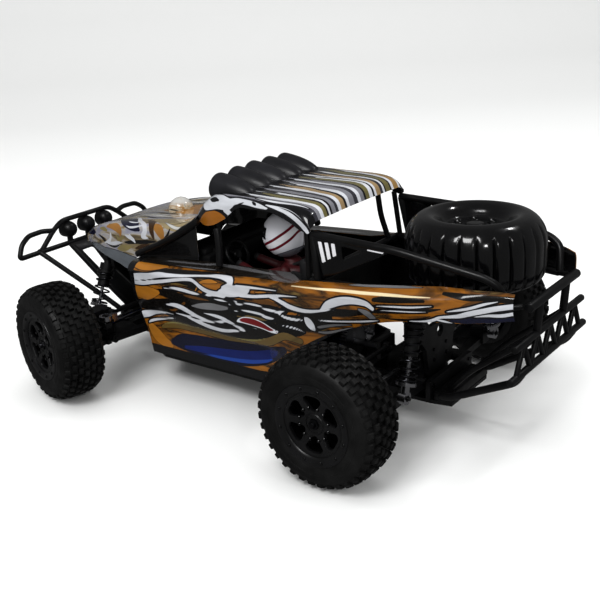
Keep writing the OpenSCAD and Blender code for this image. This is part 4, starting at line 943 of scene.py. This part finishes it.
def rear_bumper():
    x = -112.4
    bays, pitch = 10, 11.6
    tubes = [pipe([(x, -44, 125), (x, 44, 125)], 3.6),
             pipe([(x + 2, -61.5, 99.5), (x + 2, 61.5, 99.5)], 2.8),
             pipe([(x + 2, -67.7, 77.2), (x + 2, 67.7, 77.2)], 2.8)]
    for i in range(bays):
        y0, y1 = -58 + i * pitch, -58 + (i + 1) * pitch
        z0, z1 = (77.2, 99.5) if i % 2 == 0 else (99.5, 77.2)
        tubes.append(pipe([(x + 2, y0, z0), (x + 2, y1, z1)], 2))
    half = [pipe([(x + 2, 24, 99.5), (x, 24, 125)], 3),
            pipe([(x + 2, 47, 77.2), (x + 8, 46, 68), (-46, 33, 37), (-36, 30, 35)], 3, 9),
            pipe([(x + 2, 40, 99.5), (-62, 30, 62), (-40, 24, 38)], 2.4, 9)]
    parts = tubes + [both_sides(join(half)), block((-46, -32, 31), (-31, 32, 38), 1)]
    piece("rear_bumper_frame", join(parts), "chassis", SATIN_BLACK, "black_plastic", ["rear_bumper"])


# ---------------------------------------------------------------- cockpit, driver and spare

def ball(centre, radius, scale=(1, 1, 1)):
    angles = np.linspace(-math.pi / 2, math.pi / 2, 15)
    verts, faces = lathe([(max(radius * math.cos(a), 0.01), radius * math.sin(a)) for a in angles], (0, 0, 0),
                         (0, 0, 1), 28)
    return verts * scale + np.array(centre), faces


def cockpit():
    tub = [block((70, -58, 74), (206, 58, 76), 0.6), block((70, -58, 74), (73, 58, 112), 0.8),
           block((203, -58, 74), (206, 58, 112), 0.8)]
    for s in (1, -1):
        tub.append(block((70, min(55 * s, 58 * s), 74), (206, max(55 * s, 58 * s), 112), 0.8))
    for px, py in ((78, 50), (78, -50), (200, 8.5), (200, -8.5)):
        tub.append(pipe([(px, py, 31), (px, py, 75)], 3))
    # floor ribs and a transmission tunnel
    tub.append(block((92, -5, 76), (172, 5, 84), 2))
    tub += [block((x, -52, 76), (x + 2, -8, 77.4), 0.4) for x in range(96, 151, 18)]
    piece("cockpit_tub_walls", join(tub), "chassis", MATT_BLACK, "cockpit_plastic", ["cockpit_tub"])
    dash = [block((172, -53, 110), (205, 53, 126), 3), block((176, -53, 122), (205, 53, 131), 3.4),
            block((171, 8, 115), (178, 44, 129.5), 2.4)]
    dials = [lathe([(4.6, 0), (4.6, 1.4), (3.9, 1.6), (3.7, 0.7), (0.01, 0.7)], (171.2, y, 123.4),
                   (-1, 0, 0.1), 28)
             for y in (17, 27, 37)]
    piece("cockpit_dash", join(dash + dials), "chassis", MATT_BLACK, "cockpit_plastic", ["cockpit_tub"])
    axis = np.array([-0.883, 0, 0.469])
    hub = np.array([164, 26, 121.0])
    around = np.linspace(0, 2 * np.pi, 14, endpoint=False)
    circle = [(12 + 1.7 * math.cos(a), 1.7 * math.sin(a)) for a in around]
    wheel = [lathe(circle, hub, axis, 56, closed=True),
             lathe([(0.01, -1), (4, -1), (4.4, 0.4), (3.6, 1.6), (0.01, 1.8)], hub, axis, 28),
             pipe([hub, (176, 26, 114.6)], 2.3)]
    for k in range(3):
        a = 2 * math.pi * k / 3 + math.pi / 2
        e1 = unit(np.cross(axis, [0, 0, 1]))
        e2 = np.cross(axis, e1)
        out = math.cos(a) * e1 + math.sin(a) * e2
        wheel.append(pipe([hub + 3 * out, hub + 11.4 * out], 1.3, sides=10))
    piece("steering_wheel", join(wheel), "chassis", SATIN_BLACK, "cockpit_plastic", ["cockpit_tub"])
    seat = [block((75, 6, 75), (83, 46, 133), 3), block((85, 9, 75), (120, 43, 94), 3),
            block((80, 6, 78), (92, 10, 122), 1.8), block((80, 42, 78), (92, 46, 122), 1.8)]
    piece("driver_seat", join(seat), "chassis", plain("seat_black", srgb(26, 26, 28), (0.5, 0.62), bump=0.3),
          "cockpit_plastic", ["cockpit_tub"])
    verts, faces = lathe(gentle([(0.01, 90), (13, 90.5), (14.6, 97), (14.8, 108), (14.6, 115), (12, 120.6),
                                 (7.5, 123.6), (6.8, 126.8), (0.01, 127)], 40), (100, 26, 0), (0, 0, 1), 44)
    # above the shoulders the neck leans forward, under the helmet
    lean = np.maximum(verts[:, [2]] - 121, 0) / 6
    suit = [(verts + [5, 0, 0] * lean, faces)]
    for y in (11, 41):
        hand = 26 + (y - 26) * 0.8
        suit += [pipe([(101, y, 119), (128, y, 111)], 4.2), pipe([(128, y, 111), (150, hand, 116.8)], 3.5),
                 ball((128, y, 111), 4.4), ball((101, y, 118.6), 5)]
    piece("driver_body", join(suit), "chassis", SUIT_RED, "cockpit_plastic", ["cockpit_tub"])
    hands = [ball((151, 26 + s * 12, 117.2), 3.6, (1.1, 0.9, 1)) for s in (1, -1)]
    piece("driver_hands", join(hands), "chassis", GLOVE, "cockpit_plastic", ["cockpit_tub"])
    belts = [pipe([(88, 26 + s * 6, 127), (113.2, 26 + s * 6, 116), (113.8, 26 + s * 5, 98)], 1.5, 8, 8)
             for s in (1, -1)]
    piece("driver_belts", join(belts), "chassis", GLOVE, "cockpit_plastic", ["cockpit_tub"])


HELMET_AT = np.array([110, 26, 146.0])
HELMET_R = 19.0
HELMET_LAYERS = {
    "band": [
        [(s * 24, -12, 1), (s * 60, -9, 3.6), (s * 92, -5, 4.6), (s * 126, 2, 4.8), (s * 156, 8, 4),
         (s * 180, 9, 3.6)]
        for s in (1, -1)],
    "pale": [
        [(s * 34, -11, 0.2), (s * 60, -9, 1.6), (s * 92, -5, 2.4), (s * 126, 2, 2.6), (s * 156, 8, 2),
         (s * 180, 9, 1.6)] for s in (1, -1)],
    "low": [
        [(s * 70, -19, 2), (s * 110, -18, 5), (s * 150, -15, 6), (s * 180, -14, 6)] for s in (1, -1)],
}


def helmet():
    rows, cols = 90, 120
    tilt = np.linspace(math.radians(-61), math.radians(90), rows)[:, None]
    turn = np.linspace(-math.pi, math.pi, cols)[None, :]
    front = np.exp(-(turn / 0.75) ** 2)
    chin = np.exp(-((tilt + 0.42) / 0.3) ** 2)
    radius = 19.2 + 1.1 * front * chin
    gap = (np.abs(turn) < 1.15) & (tilt > -0.12) & (tilt < 0.42)
    radius = radius - 0.9 * gap
    flat = np.cos(tilt)
    grid = np.stack([radius * flat * np.cos(turn) * 1.02, radius * flat * np.sin(turn) * 0.94,
                     np.maximum(radius * np.sin(tilt) * 1.02 + 0 * turn, -18.6)], axis=-1)[:, ::-1]
    u = (np.degrees(turn) + 0 * tilt)[:, ::-1]
    z = grid[..., 2]
    material = painted("helmet_paint", srgb(206, 206, 212), [
        ("low", srgb(120, 122, 130), 0.5, BLACK), ("band", srgb(96, 12, 28), 0, BLACK),
        ("pale", srgb(214, 214, 218), 0, BLACK)])
    # its stripes are laid out in degrees round the shell
    lines = {key: [[(math.radians(a) * HELMET_R, b, w) for a, b, w in line] for line in group]
             for key, group in HELMET_LAYERS.items()}
    skin("helmet_shell", grid + HELMET_AT, material, "helmet_gloss", ["driver_helmet"], lines,
         np.radians(u) * HELMET_R, z, sharp=40, merge=True)
    t = np.linspace(-0.1, 0.4, 14)[:, None]
    a = np.linspace(-1.12, 1.12, 40)[None, :]
    r = 18.9 + 0 * a + 0 * t
    visor = np.stack([r * np.cos(t) * np.cos(a) * 1.02, r * np.cos(t) * np.sin(a) * 0.94,
                      r * np.sin(t) * 1.02 + 0 * a], axis=-1) + HELMET_AT
    piece("helmet_visor", shell(visor[:, ::-1], 0.6), "chassis",
          plain("visor_smoke", srgb(10, 11, 14), (0.03, 0.08), coat=1.0, bump=0.02), "helmet_gloss",
          ["driver_helmet"], merge=False)


SPARE_AT = np.array([-50, 0, 125])
FLUTES = 26


def spare():
    profile = gentle([(0.01, 0), (30, 0), (44, 0.4), (49.5, 3), (52, 8), (52.9, 14), (52.9, 28), (52.2, 35),
                      (50, 41.4), (46, 46.6), (41, 49.8), (36, 50.8), (31.4, 49.6), (27.4, 46.8),
                      (24.6, 43.4), (22, 41.4), (8.6, 41), (7.4, 41.4), (6.6, 42.8), (5.4, 43.2),
                      (0.01, 43.4)], 120)
    verts, faces = lathe(profile, (0, 0, 0), (0, 0, 1), 16 * FLUTES)
    r = np.hypot(verts[:, 0], verts[:, 1])
    angle = np.arctan2(verts[:, 1], verts[:, 0])
    lobe = np.abs(np.cos(FLUTES / 2 * angle))
    groove = np.clip(1 - lobe / 0.5, 0, 1) ** 1.6
    height = verts[:, 2]
    side = np.clip((r - 43.5) / 6, 0, 1) * np.clip((47 - height) / 9, 0, 1) * np.clip(height / 3, 0, 1)
    depth = (1.7 * groove + 1.2 * (1 - lobe) ** 2) * side
    verts[:, :2] *= (1 - depth / np.maximum(r, 1))[:, None]
    gloss = plain("spare_gloss", srgb(6, 6, 7), (0.12, 0.22), coat=0.4, grain=500, bump=0.06)
    piece("spare_tyre", (verts + SPARE_AT, faces), "chassis", gloss, "black_gloss", ["spare_wheel"], sharp=60)
    bolts = []
    for k in range(6):
        a = math.pi / 3 * k
        at = SPARE_AT + [14.5 * math.cos(a), 14.5 * math.sin(a), 41.1]
        bolts.append(lathe([(3.4, -0.6), (3.4, 0.6), (2.9, 1), (2.7, 2), (1.8, 3), (0.01, 3.3)], at,
                           (0, 0, 1), 24))
    piece("spare_bolts", join(bolts), "chassis", GLOSS_BLACK, "black_gloss", ["spare_wheel"])


# ---------------------------------------------------------------- wheels

def wheel_frame(corner):
    centre = (np.array(middle(corner + "_tyre")) - np.array([REAR_X, 0, 0])) / MM
    out = np.array(JOINTS[corner + "_wheel_spin"]["axis"], float)
    side = 1 if "left" in corner else -1
    out = out * side * np.sign(out[1])
    along = unit(np.cross(out, [0, 0, 1])) * side

    def place(verts):
        v = np.asarray(verts, float)
        return centre + v[:, [0]] * along + v[:, [1]] * out + v[:, [2]] * np.array([0, 0, 1])
    return place


CARCASS = [(29.4, -18.4), (30.6, -19.4), (32.6, -20.4), (36, -21.1), (40.4, -21.2), (43.6, -20.2),
           (46.4, -18), (48.1, -14.6), (49, -9), (49.3, 0), (49, 9), (48.1, 14.6), (46.4, 18), (43.6, 20.2),
           (40.4, 21.2), (36, 21.1), (32.6, 20.4), (30.6, 19.4), (29.4, 18.4)]


def tread_block(angle, y, length, width, rise, lean=0.0):
    """One tyre lug: a tapered block that stands on the carcass at an angle round it and a place across it."""
    rs, ys = [r for r, _ in CARCASS[4:15]], [w for _, w in CARCASS[4:15]]
    verts = []
    for level, taper in ((-1.2, 1.0), (0.3, 1.0), (rise - 0.35, 0.86), (rise, 0.72)):
        for du, dy in ((-1, -1), (1, -1), (1, 1), (-1, 1)):
            yy = y + 0.5 * width * dy * taper + lean * level
            r = np.interp(yy - lean * level, ys, rs) + level
            a = angle + 0.5 * length * du * taper / 50
            verts.append((r * math.cos(a), yy, r * math.sin(a)))
    faces = [(3, 2, 1, 0), (12, 13, 14, 15)]
    for k in range(3):
        for i in range(4):
            j = (i + 1) % 4
            faces.append((4 * k + i, 4 * k + j, 4 * k + 4 + j, 4 * k + 4 + i))
    return verts, faces


def tyre():
    parts = [lathe(gentle(CARCASS, 60), segments=120),
             lathe([(29.4, -18.4), (29.4, 18.4)], segments=120)]
    for side in (-1, 1):
        parts.append(lathe([(37.6 + 0.5 * math.cos(a), side * 21.0 + 0.35 * math.sin(a))
                            for a in np.linspace(0, 2 * np.pi, 8, endpoint=False)], segments=120,
                           closed=True))
    pitches = 36
    for k in range(pitches):
        a = 2 * math.pi * k / pitches
        half = math.pi / pitches
        parts += [tread_block(a, 0, 5, 4.8, 2.9), tread_block(a + half, 5.9, 4.8, 4.4, 3),
                  tread_block(a + half, -5.9, 4.8, 4.4, 3), tread_block(a, 11.6, 5.2, 4.4, 2.9),
                  tread_block(a, -11.6, 5.2, 4.4, 2.9)]
        for side in (-1, 1):
            parts.append(tread_block(a + half, 16.8 * side, 5, 4, 2, 0.3 * side))
    return join(parts)


def rim():
    """The moulded rim: beadlock rings, barrel, six-spoke face, hub and the screws around them."""
    parts = []
    for side in (1, -1):
        ring = [(24.4, 13.4), (24.6, 18.6), (25.4, 19.6), (27.2, 20.2), (30, 20.6), (31.4, 20.3), (31.9, 19.4),
                (31.2, 18.4), (29, 17.4), (28.6, 13.4)]
        parts.append(lathe([(r, side * y) for r, y in ring], segments=96, closed=True))
    parts.append(lathe([(26.4, -18), (29, -18), (29, 18), (26.4, 18)], segments=96, closed=True))
    window = rounded([(9.8, -1.4), (18.4, -7.8), (21.4, -5.4), (21.8, 0), (21.4, 5.4), (18.4, 7.8), (9.8, 1.4)],
                     2.6, 4)
    holes = []
    for k in range(6):
        a = k * math.pi / 3 + math.pi / 6
        ca, sa = math.cos(a), math.sin(a)
        holes.append([(u * ca - v * sa, u * sa + v * ca) for u, v in window])
    face = plate(ring_of(25.2, 72), holes,
                 lambda u, v, w: (u, 12 + w + 0.16 * max(math.hypot(u, v) - 7, 0), v), 3.4, 0.8)
    parts.append(face)
    parts.append(lathe([(0.01, 0.4), (7.8, 0.4), (7.8, 14), (8.2, 15.6), (7.6, 16.4), (6.8, 16.2),
                        (6.2, 14.4), (5.8, 12.2), (0.01, 12.2)], segments=48))
    screws = []
    for k in range(12):
        a = (k + 0.5) * math.pi / 6
        screws.append(lathe([(1.4, -0.4), (1.4, 0.4), (1, 0.8), (0.01, 1)],
                            (28.2 * math.cos(a), 20.3, 28.2 * math.sin(a)), segments=14))
    for k in range(6):
        for off in (-0.22, 0.22):
            a = k * math.pi / 3 + off
            screws.append(lathe([(1.3, -0.4), (1.3, 0.7), (0.9, 1.1), (0.01, 1.2)],
                                (12.6 * math.cos(a), 16.3, 12.6 * math.sin(a)), segments=14))
    return join(parts), join(screws)


def wheel_metal():
    nut = plate(ring_of(4.4, 6), [], lambda u, v, w: (u, 12.8 + w, v), 4.4, 0.5)
    return join([
        nut,
        lathe([(0.01, -21.5), (2.5, -21.5), (2.5, 18.6), (2, 19.4), (0.01, 19.4)], segments=24),
        lathe([(0.01, -21.4), (5.2, -21.4), (5.5, -22), (5.5, -28.7), (5.2, -29), (4.7, -28.8), (4.7, -24),
               (0.01, -24)], segments=28)])


def wheels():
    tread, (moulding, screws), metal = tyre(), rim(), wheel_metal()
    # a near-black drum inside the barrel, behind the spoke windows: painted shade, so the windows stay dark
    shade_drum = lathe([(7.9, 4), (26.3, 4), (26.3, 17), (26.1, 17), (26.1, 4.6), (7.9, 4.6)], segments=72,
                 closed=True)
    looks = [("tyre_tread", tread, RUBBER, "tyre_rubber", "tyre", 32, False),
             ("rim_moulding", moulding, RIM_BLACK, "rim_black", "rim", 35, True),
             ("rim_shade_drum", shade_drum, SHADE_DRUM_BLACK, "rim_black", "rim", 35, True),
             ("rim_screws", screws, GLOSS_BLACK, "rim_black", "rim", 35, True),
             ("rim_metal", metal, BOLT_DARK, "steel", "rim", 35, True)]
    for corner in CORNERS:
        place = wheel_frame(corner)
        for name, (verts, faces), material, slot, node, sharp, merge in looks:
            piece(corner + "_" + name, (place(verts), faces), corner + "_wheel", material, slot,
                  [corner + "_" + node], sharp, merge)


# ---------------------------------------------------------------- springs and drive shafts

SHOCKS = {"front": (FRONT + 30, (42, 102), (66, 50), 6), "rear": (-30, (52, 115), (74, 50), 8)}


def springs():
    for corner in CORNERS:
        x, top, bottom, turns = SHOCKS[corner.split("_")[0]]
        side = 1 if "left" in corner else -1
        a, b = np.array([x, side * top[0], top[1]]), np.array([x, side * bottom[0], bottom[1]])
        down = unit(b - a)
        start, end = a + 15.2 * down, b - 12.2 * down
        e1, e2 = np.array([1.0, 0, 0]), np.cross(down, [1.0, 0, 0])
        ts = np.linspace(0, 1, 28 * turns + 1)
        # the end coils lie closed against their seats
        closed = 0.028 * turns / 6 + 0.01
        height = np.interp(ts, [0, 1 / turns, 1 - 1 / turns, 1], [0, closed, 1 - closed, 1])
        length = np.linalg.norm(end - start)
        angles = 2 * math.pi * turns * ts
        path = np.array([start + down * (0.75 + h * (length - 1.5)) + 7 * (math.cos(a) * e1 + math.sin(a) * e2)
                         for a, h in zip(angles, height)])
        coil = sweep(path, np.full(len(path), 0.78), 10)
        spring = piece(corner + "_coil_spring", coil, None, CHROME, "spring_steel", [corner + "_spring"],
                       merge=False)
        row(start)
        row(end)
        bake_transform(spring)


def drive_shafts():
    for corner in CORNERS:
        x = FRONT if "front" in corner else 0
        side = 1 if "left" in corner else -1
        shaft = pipe([(x, side * 27, 50), (x, side * 97, 52)], 1.9, sides=14)
        pins = [pipe([(x - 3.2, side * 97, 52), (x + 3.2, side * 97, 52)], 1, sides=10),
                ball((x, side * 97, 52), 2.6)]
        piece(corner + "_dogbone", join([shaft] + pins), corner + "_arm_body", STEEL, "steel", [], sharp=40)


# ---------------------------------------------------------------- finishes of the frame's own nodes

def dress_frame():
    finishes = {"battery_pack": WRAP_BLUE, "motor": GREY_METAL, "pinion_gear": STEEL,
                "servo_horn": SATIN_BLACK, "fasteners": BOLT_DARK, "centre_drive_shaft": GREY_METAL,
                "speed_controller": MATT_BLACK, "steering_servo": MATT_BLACK, "steering_rack": SATIN_BLACK}
    for name, node in frame["nodes"].items():
        if name.endswith("_spring") or node.hide_render:
            continue
        slots = node.material_slots
        for k in range(len(slots)):
            old = slots[k].material
            colour = old.diffuse_color if old else (0.1, 0.1, 0.1, 1)
            if old and old.use_nodes and "Principled BSDF" in old.node_tree.nodes:
                colour = old.node_tree.nodes["Principled BSDF"].inputs["Base Color"].default_value
            bright = min(colour[:3]) > 0.3
            slots[k].material = finishes.get(name, STEEL if bright else SATIN_BLACK)


# ---------------------------------------------------------------- stage, lights and camera

def stage():
    mesh = bpy.data.meshes.new("floor")
    back = [(-3.4, 0), (1.6, 0), (2.1, 0.05), (2.5, 0.2), (2.8, 0.5), (3.0, 1.0), (3.1, 3.0)]
    turn = math.radians(-52)
    cos, sin = math.cos(turn), math.sin(turn)
    verts = [(d * cos - w * sin, d * sin + w * cos, z) for d, z in back for w in (-4, 4)]
    faces = [(2 * i, 2 * i + 2, 2 * i + 3, 2 * i + 1) for i in range(len(back) - 1)]
    mesh.from_pydata(verts, [], faces)
    mesh.polygons.foreach_set("use_smooth", [True] * len(mesh.polygons))
    n = Nodes("studio_floor")
    n.shader.inputs["Base Color"].default_value = (0.8, 0.805, 0.8, 1)
    n.set(Roughness=0.62, Specular_IOR_Level=0.2)
    mesh.materials.append(n.material)
    floor = bpy.data.objects.new("floor", mesh)
    bpy.context.scene.collection.objects.link(floor)
    floor.visible_glossy = False


def area(name, place, target, size, power, mirrored=True):
    data = bpy.data.lights.new(name, "AREA")
    data.shape = "RECTANGLE"
    data.size, data.size_y = size
    data.energy = power
    lamp = bpy.data.objects.new(name, data)
    lamp.location = place
    lamp.rotation_euler = (Vector(target) - Vector(place)).to_track_quat("-Z", "Y").to_euler()
    lamp.visible_glossy = mirrored
    bpy.context.scene.collection.objects.link(lamp)


def lights():
    area("key", (-0.3, 1.5, 1.9), (0, 0, 0.1), (1.0, 0.8), 30)
    area("fill", (-1.9, -0.3, 0.9), (0, 0, 0.1), (1.2, 1.4), 10, mirrored=False)
    area("top", (0.2, -0.2, 2.1), (0, 0, 0), (2.4, 2.4), 24, mirrored=False)
    area("spark", (-0.7, -0.9, 1.7), (-0.2, 0, 0.15), (0.2, 0.14), 4)
    area("spark_side", (-1.3, 1.1, 1.0), (-0.1, 0, 0.1), (0.16, 0.12), 2.4)
    world = bpy.data.worlds.new("studio")
    world.use_nodes = True
    tree = world.node_tree
    # the room looks white and lights the car, but its mirror image is dim, so black parts stay black
    path = tree.nodes.new("ShaderNodeLightPath")
    strength = tree.nodes.new("ShaderNodeMapRange")
    strength.inputs["To Min"].default_value = 0.75
    strength.inputs["To Max"].default_value = 0.14
    tree.links.new(path.outputs["Is Glossy Ray"], strength.inputs["Value"])
    tree.links.new(strength.outputs["Result"], tree.nodes["Background"].inputs["Strength"])
    tree.nodes["Background"].inputs["Color"].default_value = (1, 1, 1, 1)
    bpy.context.scene.world = world


def camera():
    place = Vector((-0.50214, 0.62671, 0.36133))
    yaw, pitch, roll = (math.radians(a) for a in (-51.905, -19.046, -3.482))
    forward = Vector((math.cos(pitch) * math.cos(yaw), math.cos(pitch) * math.sin(yaw), math.sin(pitch)))
    right = forward.cross(Vector((0, 0, 1))).normalized()
    up = right.cross(forward)
    r2 = math.cos(roll) * right + math.sin(roll) * up
    u2 = -math.sin(roll) * right + math.cos(roll) * up
    data = bpy.data.cameras.new("camera")
    data.lens = 57.38
    data.sensor_width = 36
    data.shift_x, data.shift_y = 0.0166, -0.0183
    cam = bpy.data.objects.new("camera", data)
    turn = Matrix((r2, u2, -forward)).transposed().to_4x4()
    cam.matrix_world = Matrix.Translation(place) @ turn
    bpy.context.scene.collection.objects.link(cam)
    bpy.context.scene.camera = cam
    bpy.context.scene.view_settings.view_transform = "Standard"
    bpy.context.scene.view_settings.gamma = 0.92


side_panels()
nose()
roof()
light_pod()
cage()
front_bumper()
rear_bumper()
cockpit()
helmet()
spare()
wheels()
springs()
drive_shafts()
dress_frame()
stage()
lights()
camera()
